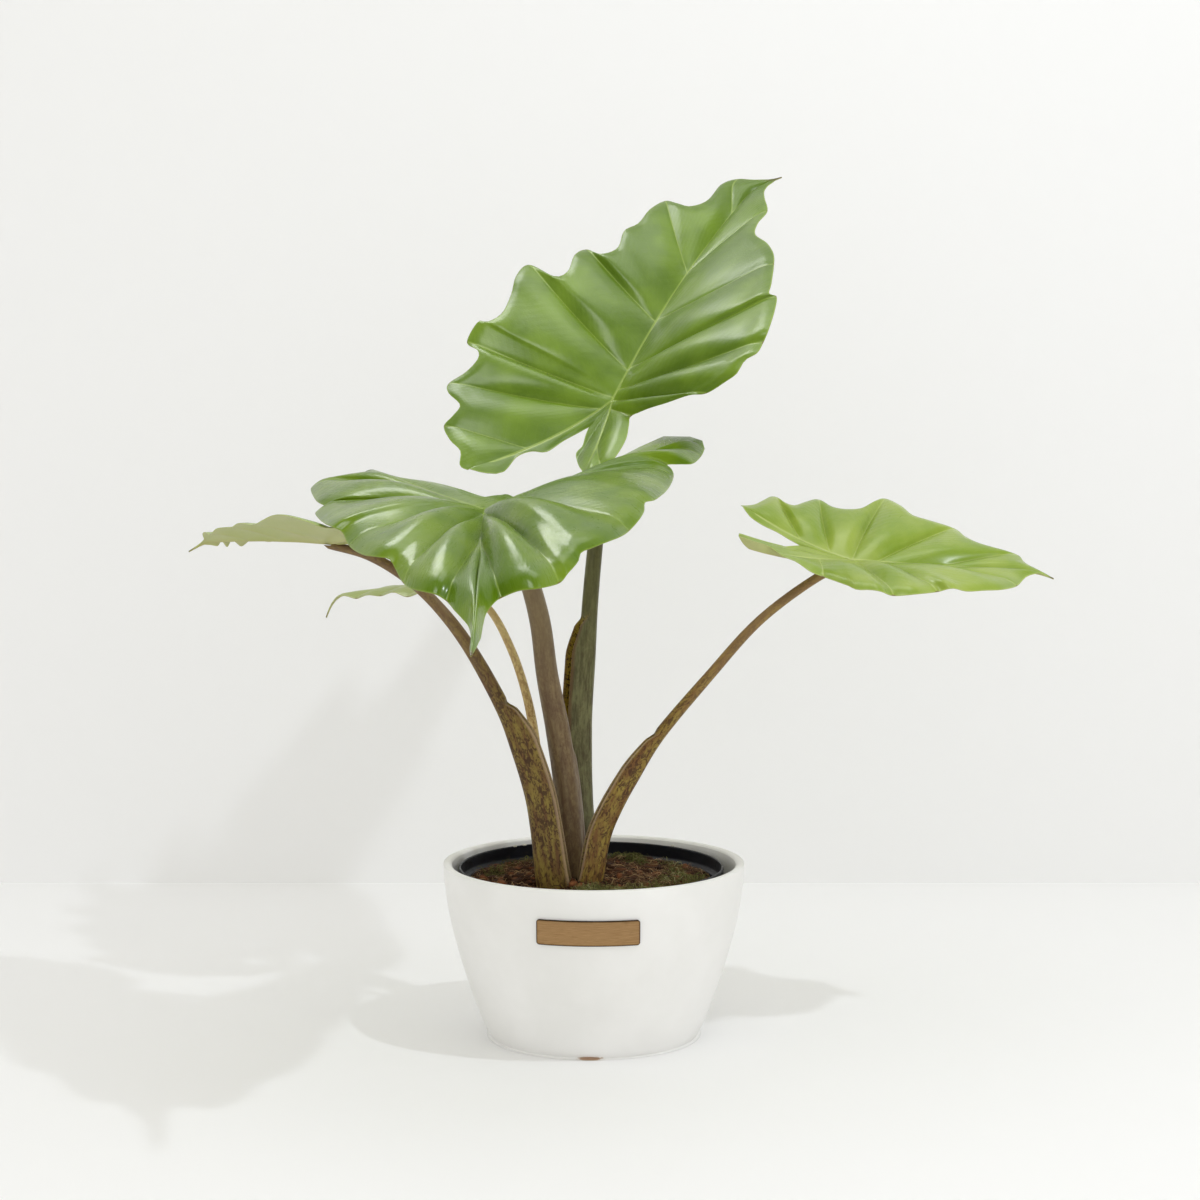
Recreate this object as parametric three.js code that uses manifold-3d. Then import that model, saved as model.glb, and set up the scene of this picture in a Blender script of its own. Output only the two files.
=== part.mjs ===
import * as THREE from 'three';
import Module from 'manifold-3d';

// A potted elephant-ear house plant: five arrow-shaped leaves on sheathed stalks grow from a corm in soil.
// The soil fills a black nursery liner that stands inside a white tapered pot with a bare bronze plate.
// Millimetres, +Z up. The origin is the centre of the underside of the white pot, and -Y is its front.

const wasm = await Module();
wasm.setup();

const degrees = Math.PI / 180;
const gap = 0.3;
const solids = [];

// Outer pot: a turned, tapered bowl with a thin rounded lip.
const potHeight = 100;
const potFloor = 6;
const potFacets = 60;
const potOutline = [
  [0, 0], [57.5, 0], [59.2, 1.2], [62.5, 6], [66.3, 15], [70.2, 26], [76.3, 45], [82.2, 68], [85.2, 87],
  [86, 98.6], [85, potHeight], [82.2, potHeight], [81.2, 98.6],
  [80.3, 87], [77.2, 68], [71.3, 45], [65.2, 26], [61.2, 15], [57, 8], [53, potFloor], [0, potFloor],
];

// Bronze plate: bent strip held on the front of the pot, left bare.
const plateWidth = 57;
const plateTop = 83.5;
const plateBottom = 69;
const plateThickness = 1.1;
const plateCentreX = -3;
const plateColumns = 12;
const plateRows = 4;
const plateCorner = 1.8;

// Nursery liner: thin moulded pot with a stepped lip and drain holes in its floor.
const linerX = -1.5;
const linerFacets = 40;
const linerOutline = [
  [0, 6.3], [51, 6.3], [53, 8], [72.6, 88], [75.8, 89.2], [75.8, 97], [75.2, 97.6], [74.5, 97],
  [74.5, 90.4], [71.4, 89.2], [51.9, 9.2], [50.5, 7.8], [0, 7.8],
];
const drainHoles = 5;
const drainRadius = 5;
const drainCircle = 34;
const drainFacets = 14;
const drainPunch = [2, 12];

// Soil: slightly mounded and lumpy, filling the liner.
const soilBottom = 8.1;
const soilBottomRadius = 51.4;
const soilWall = [[51.6, 9.4], [71, 88.2]];
const soilEdge = 88.4;
const soilMound = 5;
const soilLumps = 1.5;
const soilRings = 7;
const soilSeed = 7;

// Corm: the swollen stem base under the soil that carries every leaf stalk.
const cormX = -13;
const cormY = -8;
const cormTop = 69.7;
const cormOutline = [[0, 34], [9, 36], [17, 43], [21.5, 53], [22, 61], [20.6, cormTop], [0, cormTop]];
const cormFacets = 28;

// Leaf stalks: a round stalk whose lower part opens into a sheath with two thin wings.
const sheathSkin = 1.2;
const sheathOpening = 14;
const sheathClosing = 8;
const wingTaper = 26;
const narrowWing = 0.35;
const stalkFoot = 70;
const stalkSteps = 2;
const stalkArrival = 0.22;
const holeClearance = 0.45;

// Leaf blades: each is bent from a flat outline, ribbed below and puffed between its main veins.
const bladeSkin = 0.8;
const ribDepth = 2;
const midribTaper = 0.8;
const lobeRibTaper = 0.85;
const lobeRibReach = 0.86;
const bladeRows = [0.09, 0.42, 0.74, 0.92, 1];
const sideBow = 0.015;
const puffShift = 1.15;
const closestRoots = 0.004;
const closestInner = 0.02;
const rollReach = 0.6;
const rollFullWidth = 25;
const innerRoll = 0.3;
const nearlyStraight = 1e-6;

// Every leaf has the place of its joint with the stalk, the direction of its midrib and its bending angles.
// Margin points run from the tip to the end of the back lobe, and inner ones on round it towards the notch.
// Each is [distance along the midrib, distance out from it, rise]; a negative rise marks a main vein's end.
// A vein root above zero is a share of the midrib, and one below zero is a share of the lobe's rib.
// The margin rolls down by rollDepth over rollWidth, and the drip tip turns aside and drops beyond tailFrom.
const leaves = [
  {
    name: 'tall_leaf', stalk: 'tall_stalk', colour: 0x5f9030, stalkColour: 0x6b6647,
    joint: [11, 59, 362], heading: 55, climb: 48, roll: -3,
    length: 216, droop: 16, lobeDroop: -50, foldLeft: 31, foldRight: 12, curlLeft: 0, curlRight: 0,
    puff: 0.05, rollDepth: 2.5, rollWidth: 10, tailFrom: 0.9, tailAside: -14, tailDrop: 0,
    left: [
      [213, 2, 0], [210, 5, 1], [207, 17, -1], [197, 20, 0], [176, 19, 2], [164, 25, 3], [164, 34, 1],
      [166, 43, -3], [151, 46, 0], [135, 46, 1], [124, 50, 2], [109, 47, 2], [99, 53, 3], [103, 65, -3],
      [93, 68, 0], [78, 65, 2], [70, 70, 3], [76, 90, -3], [63, 92, 0], [48, 88, 1], [32, 86, 3],
      [23, 91, 3], [22, 97, 1], [9, 98, -3], [3, 88, 2], [-4, 85, 3], [-17, 88, 1], [-29, 94, -2],
      [-39, 90, 0], [-48, 78, 3], [-58, 78, 1], [-67, 79, -2], [-78, 69, 0], [-85, 58, 2], [-95, 52, 0],
      [-96, 46, 0],
    ],
    leftInner: [[-92, 36, 0], [-84, 29, 0], [-68, 29, 1], [-60, 24, 2], [-54, 17, 1], [-40, 13, 0]],
    leftVeins: [0.8, 0.51, 0.3, 0.11, 0.01, -0.1, -0.7],
    right: [
      [212, 2, 0], [206, 5, 0], [185, 19, 1], [168, 30, -1], [148, 36, 2], [132, 44, 3], [121, 58, 1],
      [108, 70, 0], [97, 76, -1], [74, 88, 1], [63, 93, 2], [62, 97, -1], [47, 104, 0], [30, 109, 1],
      [23, 107, -1], [13, 109, 1], [8, 103, 2], [0, 100, 1], [-4, 92, 0], [-9, 79, -1], [-11, 69, 2],
      [-13, 52, 2], [-13, 35, 1], [-14, 21, -1], [-23, 25, 0], [-38, 31, 0], [-56, 33, 0], [-64, 29, -1],
      [-73, 27, 0], [-69, 20, 0],
    ],
    rightInner: [[-58, 8, 0], [-46, -2, 0], [-38, -2, 0], [-30, -4, 0]],
    rightVeins: [0.52, 0.31, 0.12, 0.04, 0, -0.12, -0.7],
    notch: [-23, 5, 0],
    path: [
      [-3, 12, 92], [-6, 14, 133], [-6, 18, 178], [-4, 23, 213], [-2, 30, 248], [2, 42, 290], [7, 52, 330],
    ],
    foot: [-6, 5], footRadius: 5, thickness: [6.2, 5.6, 5, 4.9, 4.7, 4.4, 3.8], endThickness: 3.5,
    facing: [-0.85, -0.5, 0.1], sheathFrom: 92, sheathTo: 240, wing: 9,
  },
  {
    name: 'front_leaf', stalk: 'front_stalk', colour: 0x3f7a1f, stalkColour: 0x6f6350,
    joint: [-58, -82, 306], heading: -90, climb: -7, roll: 14,
    length: 204, droop: 18, lobeDroop: -10, foldLeft: 1, foldRight: 13, curlLeft: 14, curlRight: 0,
    puff: 0.08, rollDepth: 6, rollWidth: 15, tailFrom: 0.4, tailAside: -6, tailDrop: 0,
    left: [
      [196, 1, 0], [186, 1.4, 0], [175, 1.8, 0], [165, 2.2, 0], [154, 3.4, 0], [145, 7, 0], [139, 10, -1],
      [142, 20, 2], [144, 30, 2], [133, 39, -2], [127, 44, 0], [117, 49, 1], [110, 51, 3], [106, 56, 3],
      [97, 64, 2], [85, 71, 0], [70, 76, -2], [57, 82, 0], [44, 85, 1], [33, 86, 3], [22, 92, 2],
      [-15, 99, 0], [-60, 104, -2], [-67, 103, 1], [-73, 101, 2], [-78, 108, 1], [-84, 116, 0],
      [-105, 122, -1], [-119, 125, 0],
    ],
    leftInner: [
      [-126, 118, 1], [-122, 108, 2], [-118, 99, 3], [-103, 87, 1], [-82, 71, -1], [-61, 57, -2],
      [-49, 47, -3], [-44, 40, -1], [-39, 33, -1], [-32, 26, -2],
    ],
    leftVeins: [0.35, 0.05, -0.03, -0.35, -0.8],
    right: [
      [194, 1, 0], [183, 1, 0], [167, 3, 0], [157, 7, 0], [148, 11, 0], [136, 15, -1], [134, 20, 2],
      [130, 26, 2], [121, 33, 0], [108, 38, -2], [91, 43, 0], [86, 46, 3], [82, 53, 3], [68, 61, 0],
      [45, 69, -2], [27, 74, 1], [24, 79, 3], [3, 86, 1], [-40, 95, -2], [-43, 90, 1], [-58, 96, 1],
      [-102, 103, -2], [-103, 96, 0], [-104, 84, 0], [-108, 77, 0], [-121, 74, -2],
    ],
    rightInner: [
      [-107, 62, -1.5], [-90, 48, 0], [-77, 32, 1], [-56, 17, 2], [-41, 4, 1], [-35, -4, 1], [-34, -11, 1],
    ],
    rightVeins: [0.33, 0.06, -0.02, -0.2, -0.5],
    notch: [-22, 18, -2],
    path: [
      [-12, -5, 92], [-15, -9, 137], [-20, -15, 176], [-26, -24, 210], [-30, -37, 243], [-38, -56, 274],
      [-48, -72, 294],
    ],
    foot: [-12, -7], footRadius: 5.5, thickness: [7.4, 7.2, 6.9, 6.2, 5.8, 5.2, 4.4], endThickness: 3.8,
    facing: [0.15, 0.95, 0.1], sheathFrom: 92, sheathTo: 168, wing: 3.2,
  },
  {
    name: 'left_leaf', stalk: 'left_stalk', colour: 0x8da85c, stalkColour: 0x7c6a45,
    joint: [-148, -15, 285], heading: 138, climb: 0, roll: 6,
    length: 114, droop: 6, lobeDroop: -10, foldLeft: 10, foldRight: 10, curlLeft: 0, curlRight: 8,
    puff: 0.05, rollDepth: 1.5, rollWidth: 8, tailFrom: 0.9, tailAside: 8, tailDrop: 6,
    left: [
      [110, 1, 0], [105, 4, 0], [99, 9, 0], [92, 16, 1], [85, 20, 1], [76, 23, -1], [67, 27, 1], [56, 30, 1],
      [44, 35, -0.1], [33, 40, 1], [22, 44, 0], [11, 47, -1], [0, 51, 1], [-12, 55, 3], [-24, 57, 3],
      [-36, 51, 1], [-44, 44, -1], [-53, 32, 1], [-58, 22, 0],
    ],
    leftInner: [[-49, 14, 1], [-36, 12, 1], [-24, 7, 0]],
    leftVeins: [0.6, 0.34, 0.06, -0.55],
    right: [
      [109, 1, 0], [104, 5, -3], [102, 7, 0], [100, 9, -4], [97, 11, 0], [94, 15, -4], [87, 18, 0],
      [77, 23, -2], [66, 29, 2], [55, 36, 0], [47, 42, -3], [34, 43, 2], [22, 47, 1], [16, 54, -3],
      [3, 51, 2], [-9, 54, -2], [-20, 50, 2], [-33, 48, -2], [-46, 38, 1], [-55, 27, -1], [-57, 19, 0],
    ],
    rightInner: [[-47, 12, 1], [-34, 10, 1], [-23, 6, 0]],
    rightVeins: [0.88, 0.83, 0.76, 0.6, 0.34, 0.1, -0.1, -0.4, -0.8],
    notch: [-15, 0, 0],
    path: [
      [-25.5, -27, 92], [-30, -27, 123], [-34, -26, 144], [-42, -25, 169], [-51, -24, 192], [-70, -22, 226],
      [-88, -19, 249], [-106, -17, 265], [-127, -16, 277],
    ],
    foot: [-20, -20], footRadius: 6.5,
    thickness: [6.8, 5.6, 5.2, 4.7, 4.3, 3.7, 3.3, 3, 2.7], endThickness: 2.3,
    facing: [0.98, -0.1, 0.2], sheathFrom: 92, sheathTo: 196, wing: 8.5,
  },
  {
    name: 'small_leaf', stalk: 'small_stalk', colour: 0x6e9a34, stalkColour: 0xa58f45,
    joint: [-77, 55, 256], heading: 172, climb: -3, roll: 0,
    length: 86, droop: 8, lobeDroop: 4, foldLeft: -2, foldRight: -5, curlLeft: 2, curlRight: 2,
    puff: 0.04, rollDepth: 1, rollWidth: 6, tailFrom: 0.84, tailAside: 0, tailDrop: 12,
    left: [
      [81, 2, 0], [75, 6, 0], [69, 10, 0], [62, 14, -2], [54, 19, 0], [45, 23, -1], [36, 28, 1], [27, 32, -2],
      [15, 34, 1], [3, 36, -2], [-11, 34, 1], [-24, 32, -1], [-35, 25, 0], [-40, 16, 0],
    ],
    leftInner: [[-33, 10, 1], [-21, 6, 0]],
    leftVeins: [0.6, 0.38, 0.14, -0.05, -0.6],
    right: [
      [81, 1, 0], [74, 4, 0], [67, 9, 0], [60, 13, -1], [52, 18, 1], [44, 24, -1], [33, 28, 1], [22, 33, -1],
      [9, 34, 1], [-4, 36, -1], [-15, 34, 1], [-28, 31, -1], [-37, 22, 0], [-40, 14, 0],
    ],
    rightInner: [[-32, 9, 1], [-20, 5, 0]],
    rightVeins: [0.6, 0.36, 0.12, -0.1, -0.6],
    notch: [-12, 0, 0],
    path: [[-27, 4, 92], [-30, 10, 134], [-35, 18, 174], [-40, 25, 196], [-48, 34, 218], [-60, 45, 239]],
    foot: [-21, -1], footRadius: 2.6, thickness: [3.2, 3.1, 2.8, 2.5, 2.4, 2.2], endThickness: 1.9,
    facing: [0.95, -0.2, 0.2], sheathFrom: 92, sheathTo: 130, wing: 1.6,
  },
  {
    name: 'right_leaf', stalk: 'right_stalk', colour: 0x6c9c33, stalkColour: 0x8a6f42,
    joint: [144, -15, 274], heading: -3, climb: -4, roll: 16,
    length: 113, droop: -2, lobeDroop: -36, foldLeft: 14, foldRight: 10, curlLeft: 0, curlRight: 5,
    puff: 0.06, rollDepth: 3, rollWidth: 9, tailFrom: 0.85, tailAside: -8, tailDrop: 1,
    left: [
      [110, 2, 0], [102, 9, 0], [98, 13, 0], [96, 20, -1], [91, 22, 0], [83, 24, 1], [73, 27, 2], [66, 34, 1],
      [62, 45, -2], [56, 46, 0], [46, 49, 1], [36, 52, 2], [30, 62, 1], [22, 75, -3], [16, 68, 0], [7, 56, 2],
      [-2, 52, 3], [-11, 56, 1], [-20, 66, -2], [-28, 56, 1], [-35, 48, 2], [-42, 50, 1], [-48, 57, -2],
      [-54, 46, 0], [-60, 36, 0], [-67, 29, 0],
    ],
    leftInner: [[-61, 21, 0], [-53, 17, 0], [-43, 13, 1], [-35, 9, 1]],
    leftVeins: [0.45, 0.13, 0.01, -0.2, -0.5],
    right: [
      [110, 1, 0], [105, 2, 1], [97, 9, 0], [91, 25, -1], [82, 39, 0], [72, 43, 0], [62, 47, 0], [54, 50, 2],
      [46, 48, -1], [34, 59, 0], [22, 58, -2], [15, 62, 1], [9, 60, 1], [2, 58, 0], [-3, 51, 0], [-9, 45, 0],
      [-16, 38, -0.2], [-24, 36, 1], [-32, 30, 2], [-40, 31, 3], [-46, 28, 4], [-51, 28, 5], [-60, 34, 6],
      [-69, 36, 6],
    ],
    rightInner: [[-67, 28, 5], [-50, 10, 3], [-38, 0, 2]],
    rightVeins: [0.45, 0.14, 0.02, -0.3],
    notch: [-29, 7, 1],
    path: [
      [-0.8, -27, 92], [4, -26, 117], [11, -25, 134], [22, -23, 153], [37, -21, 176], [64, -19, 208],
      [93, -17, 240], [125, -16, 264],
    ],
    foot: [-6, -19], footRadius: 5.5, thickness: [5.8, 5.2, 4.7, 4.1, 3.4, 2.9, 2.6, 2.5], endThickness: 2.3,
    facing: [-0.8, -0.1, 0.6], sheathFrom: 92, sheathTo: 178, wing: 5,
  },
];

// Seeded random numbers for the lumps of the soil.
function seededRandom(seed) {
  let state = seed;
  return () => {
    state = (state * 1664525 + 1013904223) % 4294967296;
    return state / 4294967296;
  };
}

// A closed surface from points and triangles, turned outward if it comes out inside out.
function closedShape(points, triangles) {
  let volume = 0;
  for (const [a, b, c] of triangles) {
    volume += points[a].dot(new THREE.Vector3().crossVectors(points[b], points[c]));
  }
  const outward = volume < 0 ? triangles.map(([a, b, c]) => [a, c, b]) : triangles;
  const geometry = new THREE.BufferGeometry();
  geometry.setAttribute('position', new THREE.Float32BufferAttribute(points.flatMap((p) => p.toArray()), 3));
  geometry.setIndex(outward.flat());
  return geometry;
}

function toManifold(geometry) {
  return new wasm.Manifold(new wasm.Mesh({
    numProp: 3,
    vertProperties: new Float32Array(geometry.attributes.position.array),
    triVerts: new Uint32Array(geometry.index.array),
  }));
}

function fromManifold(solid) {
  const cut = solid.getMesh();
  const geometry = new THREE.BufferGeometry();
  geometry.setAttribute('position', new THREE.Float32BufferAttribute(cut.vertProperties, cut.numProp));
  geometry.setIndex(Array.from(cut.triVerts));
  return geometry;
}

function addPart(name, geometry, colour, roughness, metalness) {
  geometry.computeVertexNormals();
  const material = new THREE.MeshStandardMaterial({ color: colour, roughness, metalness });
  const part = new THREE.Mesh(geometry, material);
  part.name = name;
  solids.push(part);
}

// A turned solid about a vertical axis, from an outline that starts and ends on the axis.
function turned(outline, facets, centreX = 0, centreY = 0) {
  const points = [];
  const rows = outline.map(([radius, height]) => {
    const first = points.length;
    const count = radius === 0 ? 1 : facets;
    for (let k = 0; k < count; k += 1) {
      const angle = (2 * Math.PI * k) / facets;
      const x = centreX + radius * Math.cos(angle);
      const y = centreY + radius * Math.sin(angle);
      points.push(new THREE.Vector3(x, y, height));
    }
    return { first, count };
  });
  const triangles = [];
  for (let r = 0; r + 1 < rows.length; r += 1) {
    const [low, high] = [rows[r], rows[r + 1]];
    for (let k = 0; k < facets; k += 1) {
      const next = (k + 1) % facets;
      const a = low.first + (k % low.count);
      const b = low.first + (next % low.count);
      const c = high.first + (k % high.count);
      const d = high.first + (next % high.count);
      if (a !== b) triangles.push([a, b, d]);
      if (c !== d) triangles.push([a, d, c]);
    }
  }
  return closedShape(points, triangles);
}

// Rings of points joined into one closed solid with a flat cap at each end.
function skinned(rings) {
  const around = rings[0].length;
  const points = rings.flat();
  const triangles = [];
  for (let r = 0; r + 1 < rings.length; r += 1) {
    for (let k = 0; k < around; k += 1) {
      const next = (k + 1) % around;
      const a = r * around + k;
      const b = r * around + next;
      triangles.push([a, b, b + around], [a, b + around, a + around]);
    }
  }
  const ends = [[0, rings[0], false], [(rings.length - 1) * around, rings[rings.length - 1], true]];
  for (const [first, ring, last] of ends) {
    const middle = points.length;
    points.push(ring.reduce((sum, p) => sum.add(p), new THREE.Vector3()).divideScalar(around));
    for (let k = 0; k < around; k += 1) {
      const next = (k + 1) % around;
      triangles.push(last ? [first + k, first + next, middle] : [first + next, first + k, middle]);
    }
  }
  return closedShape(points, triangles);
}

// The two unit vectors across a leaf and up from it, for the direction of its midrib.
function leafAxes(leaf) {
  const turn = leaf.heading * degrees;
  const climb = leaf.climb * degrees;
  const roll = leaf.roll * degrees;
  const along = new THREE.Vector3(
    Math.cos(climb) * Math.cos(turn), Math.cos(climb) * Math.sin(turn), Math.sin(climb),
  );
  const level = new THREE.Vector3(-Math.sin(turn), Math.cos(turn), 0);
  const upright = new THREE.Vector3().crossVectors(along, level);
  const across = level.multiplyScalar(Math.cos(roll)).addScaledVector(upright, Math.sin(roll));
  const up = new THREE.Vector3().crossVectors(along, across);
  return { along, across, up };
}

// Distance gone and height lost by a strip that bends evenly, after a length, from a first angle.
function bentStrip(length, firstAngle, bend) {
  if (Math.abs(bend * length) < nearlyStraight) {
    return [length * Math.cos(firstAngle), length * Math.sin(firstAngle)];
  }
  const lastAngle = firstAngle - bend * length;
  return [
    (Math.sin(firstAngle) - Math.sin(lastAngle)) / bend,
    (Math.cos(lastAngle) - Math.cos(firstAngle)) / bend,
  ];
}

// Where a point of the flat leaf comes to lie when its midrib, halves, lobes and drip tip are bent.
function bendLeaf(leaf, axes, x, y, rise) {
  const ahead = x >= 0 ? 1 : -1;
  const side = y >= 0 ? 1 : -1;
  const bend = ((x >= 0 ? leaf.droop : leaf.lobeDroop) * degrees) / leaf.length;
  const [gone, drop] = bentStrip(Math.abs(x), 0, bend);
  const turn = -ahead * bend * Math.abs(x);
  const along = axes.along.clone().multiplyScalar(Math.cos(turn)).addScaledVector(axes.up, Math.sin(turn));
  const up = new THREE.Vector3().crossVectors(along, axes.across);
  const fold = (y >= 0 ? leaf.foldLeft : leaf.foldRight) * degrees;
  const curl = ((y >= 0 ? leaf.curlLeft : leaf.curlRight) * degrees) / (leaf.length / 2);
  const [out, lift] = bentStrip(Math.abs(y), fold, curl);
  const slope = fold - curl * Math.abs(y);
  const tail = Math.max(0, (x / leaf.length - leaf.tailFrom) / (1 - leaf.tailFrom)) ** 2;
  return new THREE.Vector3(...leaf.joint)
    .addScaledVector(axes.along, ahead * gone)
    .addScaledVector(axes.up, drop)
    .addScaledVector(axes.across, leaf.tailAside * tail + side * (out - rise * Math.sin(slope)))
    .addScaledVector(up, lift + rise * Math.cos(slope) - leaf.tailDrop * tail);
}

// Stations of the margin points: 1 at the tip, 0 where the lobe begins and -1 at the lobe's end.
// A main vein's end has the station of its root, and the points between two of them are spaced as they lie.
function marginStations(points, veins) {
  const last = points.length - 1;
  const ends = points.map((p, k) => k).filter((k) => k === 0 || k === last || points[k][2] < 0);
  const roots = [1, ...veins, -1];
  const runs = [0];
  for (let k = 1; k <= last; k += 1) {
    const [[x0, y0], [x1, y1]] = [points[k - 1], points[k]];
    runs.push(runs[k - 1] + Math.hypot(x1 - x0, y1 - y0));
  }
  return points.map((p, k) => {
    const v = Math.max(1, ends.findIndex((end) => end >= k));
    return THREE.MathUtils.mapLinear(runs[k], runs[ends[v - 1]], runs[ends[v]], roots[v - 1], roots[v]);
  });
}

// Stations of the points round a lobe to the notch: each lies at the nearest place of the lobe's rib.
function innerStations(points, ribEnd) {
  const stations = [1];
  for (const [x, y] of points.slice(1, -1)) {
    const nearest = (x * ribEnd[0] + y * ribEnd[1]) / (ribEnd[0] ** 2 + ribEnd[1] ** 2);
    stations.push(Math.min(nearest, stations[stations.length - 1] - closestInner));
  }
  return [...stations, 0];
}

// The hump between two main veins at a station, from 0 on a vein to 1 midway.
function humpAt(station, roots) {
  const v = Math.max(1, roots.findIndex((root) => root <= station));
  return Math.sin((Math.PI * (roots[v - 1] - station)) / (roots[v - 1] - roots[v]));
}

// Stations in falling order with none nearer to the one before than the least distance.
function thinned(stations, least) {
  const kept = [];
  for (const station of [...stations].sort((a, b) => b - a)) {
    if (kept.length === 0 || kept[kept.length - 1] - station >= least) kept.push(station);
  }
  return kept;
}

// One blade: a middle surface of columns from the ribs to the margin, thickened to both faces.
// The columns stand at the margin points, and each rib is shared by the columns on both of its sides.
function blade(leaf) {
  const axes = leafAxes(leaf);
  const points = [];
  const depths = [];
  const triangles = [];
  const place = (x, y, rise, depth) => {
    points.push(bendLeaf(leaf, axes, x, y, rise));
    depths.push(depth);
    return points.length - 1;
  };
  const ribOf = (stations, endX, endY, taper) => stations.map((station) => ({
    station,
    x: endX * station,
    y: endY * station,
    index: place(endX * station, endY * station, 0, ribDepth * (1 - taper * station)),
  }));
  const nearestRoot = (rib, station) => {
    const distances = rib.map((root) => Math.abs(root.station - station));
    return distances.indexOf(Math.min(...distances));
  };
  const column = (sign, rib, station, [edgeX, edgeOut, edgeRise], bow, hump, rollShare) => {
    const from = nearestRoot(rib, station);
    const root = rib[from];
    const edgeY = edgeOut * sign;
    const reach = Math.hypot(edgeX - root.x, edgeY - root.y);
    const rollWidth = Math.min(leaf.rollWidth, rollReach * reach);
    const rollDepth = rollShare * leaf.rollDepth * Math.min(1, reach / rollFullWidth);
    const rows = bladeRows.map((r) => {
      const x = root.x + (edgeX - root.x) * r - bow * reach * 4 * r * (1 - r);
      const y = root.y + (edgeY - root.y) * r;
      const puffed = leaf.puff * reach * hump * Math.sin(Math.PI * Math.min(r * puffShift, 1));
      const rolled = rollDepth * Math.max(0, 1 - (reach * (1 - r)) / rollWidth) ** 2;
      return place(x, y, edgeRise * r * r + puffed - rolled, 0);
    });
    return { from, rows };
  };
  const join = (sign, rib, columns) => {
    const faces = [];
    for (let n = 0; n + 1 < columns.length; n += 1) {
      const [first, second] = [columns[n], columns[n + 1]];
      const step = Math.sign(second.from - first.from);
      for (let k = first.from; k !== second.from; k += step) {
        faces.push([rib[k].index, first.rows[0], rib[k + step].index]);
      }
      faces.push([rib[second.from].index, first.rows[0], second.rows[0]]);
      for (let r = 0; r + 1 < bladeRows.length; r += 1) {
        const [a, b, c, d] = [first.rows[r], first.rows[r + 1], second.rows[r + 1], second.rows[r]];
        faces.push([a, b, c], [a, c, d]);
      }
    }
    for (const [a, b, c] of faces) {
      if (a !== b && b !== c && a !== c) triangles.push(sign > 0 ? [a, b, c] : [a, c, b]);
    }
  };
  const sides = [
    { sign: 1, outer: leaf.left, back: leaf.leftInner, veins: leaf.leftVeins },
    { sign: -1, outer: leaf.right, back: leaf.rightInner, veins: leaf.rightVeins },
  ].map(({ sign, outer, back, veins }) => {
    const margin = [[leaf.length, 0, 0], ...outer];
    const end = outer[outer.length - 1];
    const ribEnd = [end[0] * lobeRibReach, end[1] * lobeRibReach];
    const [notchX, notchY, notchRise] = leaf.notch;
    const innerMargin = [end, ...back, [notchX, notchY * sign, notchRise]];
    return {
      sign,
      veins,
      margin,
      ribEnd,
      innerMargin,
      stations: marginStations(margin, veins),
      inner: innerStations(innerMargin, ribEnd),
    };
  });

  const ahead = sides.flatMap((side) => side.stations.filter((station) => station > closestRoots));
  const midrib = ribOf([...thinned(ahead, closestRoots), 0], leaf.length, 0, midribTaper);
  const tip = { from: 0, rows: bladeRows.map(() => midrib[0].index) };
  const joint = midrib[midrib.length - 1];
  const [notchX, notchY, notchRise] = leaf.notch;
  const notchRows = bladeRows.map((r) => place(notchX * r, notchY * r, notchRise * r * r, 0));
  for (const { sign, margin, stations, veins, ribEnd, innerMargin, inner } of sides) {
    const roots = [1, ...veins, -1];
    const behind = stations.filter((station) => station < 0).map((station) => -station);
    const clearOfJoint = [...behind, ...inner].filter((station) => station > closestRoots);
    const lobeStations = thinned(clearOfJoint, closestRoots).reverse();
    const lobeRib = [joint, ...ribOf(lobeStations, ribEnd[0], ribEnd[1] * sign, lobeRibTaper)];
    const aheadColumns = [tip];
    const lobeColumns = [];
    stations.forEach((station, k) => {
      const hump = humpAt(station, roots);
      if (k > 0 && station >= 0) {
        aheadColumns.push(column(sign, midrib, station, margin[k], sideBow, hump, 1));
      } else if (station < 0) {
        lobeColumns.push(column(sign, lobeRib, -station, margin[k], sideBow * (1 + station), hump, 1));
      }
    });
    const lastAhead = aheadColumns[aheadColumns.length - 1];
    aheadColumns.push({ from: midrib.length - 1, rows: lastAhead.rows });
    lobeColumns.unshift({ from: 0, rows: lastAhead.rows });
    const innerColumns = [lobeColumns[lobeColumns.length - 1]];
    for (let k = 1; k + 1 < innerMargin.length; k += 1) {
      const hump = Math.sin(Math.PI * inner[k]);
      innerColumns.push(column(sign, lobeRib, inner[k], innerMargin[k], 0, hump, innerRoll));
    }
    innerColumns.push({ from: 0, rows: notchRows });
    join(sign, midrib, aheadColumns);
    join(sign, lobeRib, lobeColumns);
    join(sign, lobeRib, innerColumns);
  }
  return thickened(points, depths, triangles);
}

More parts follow.
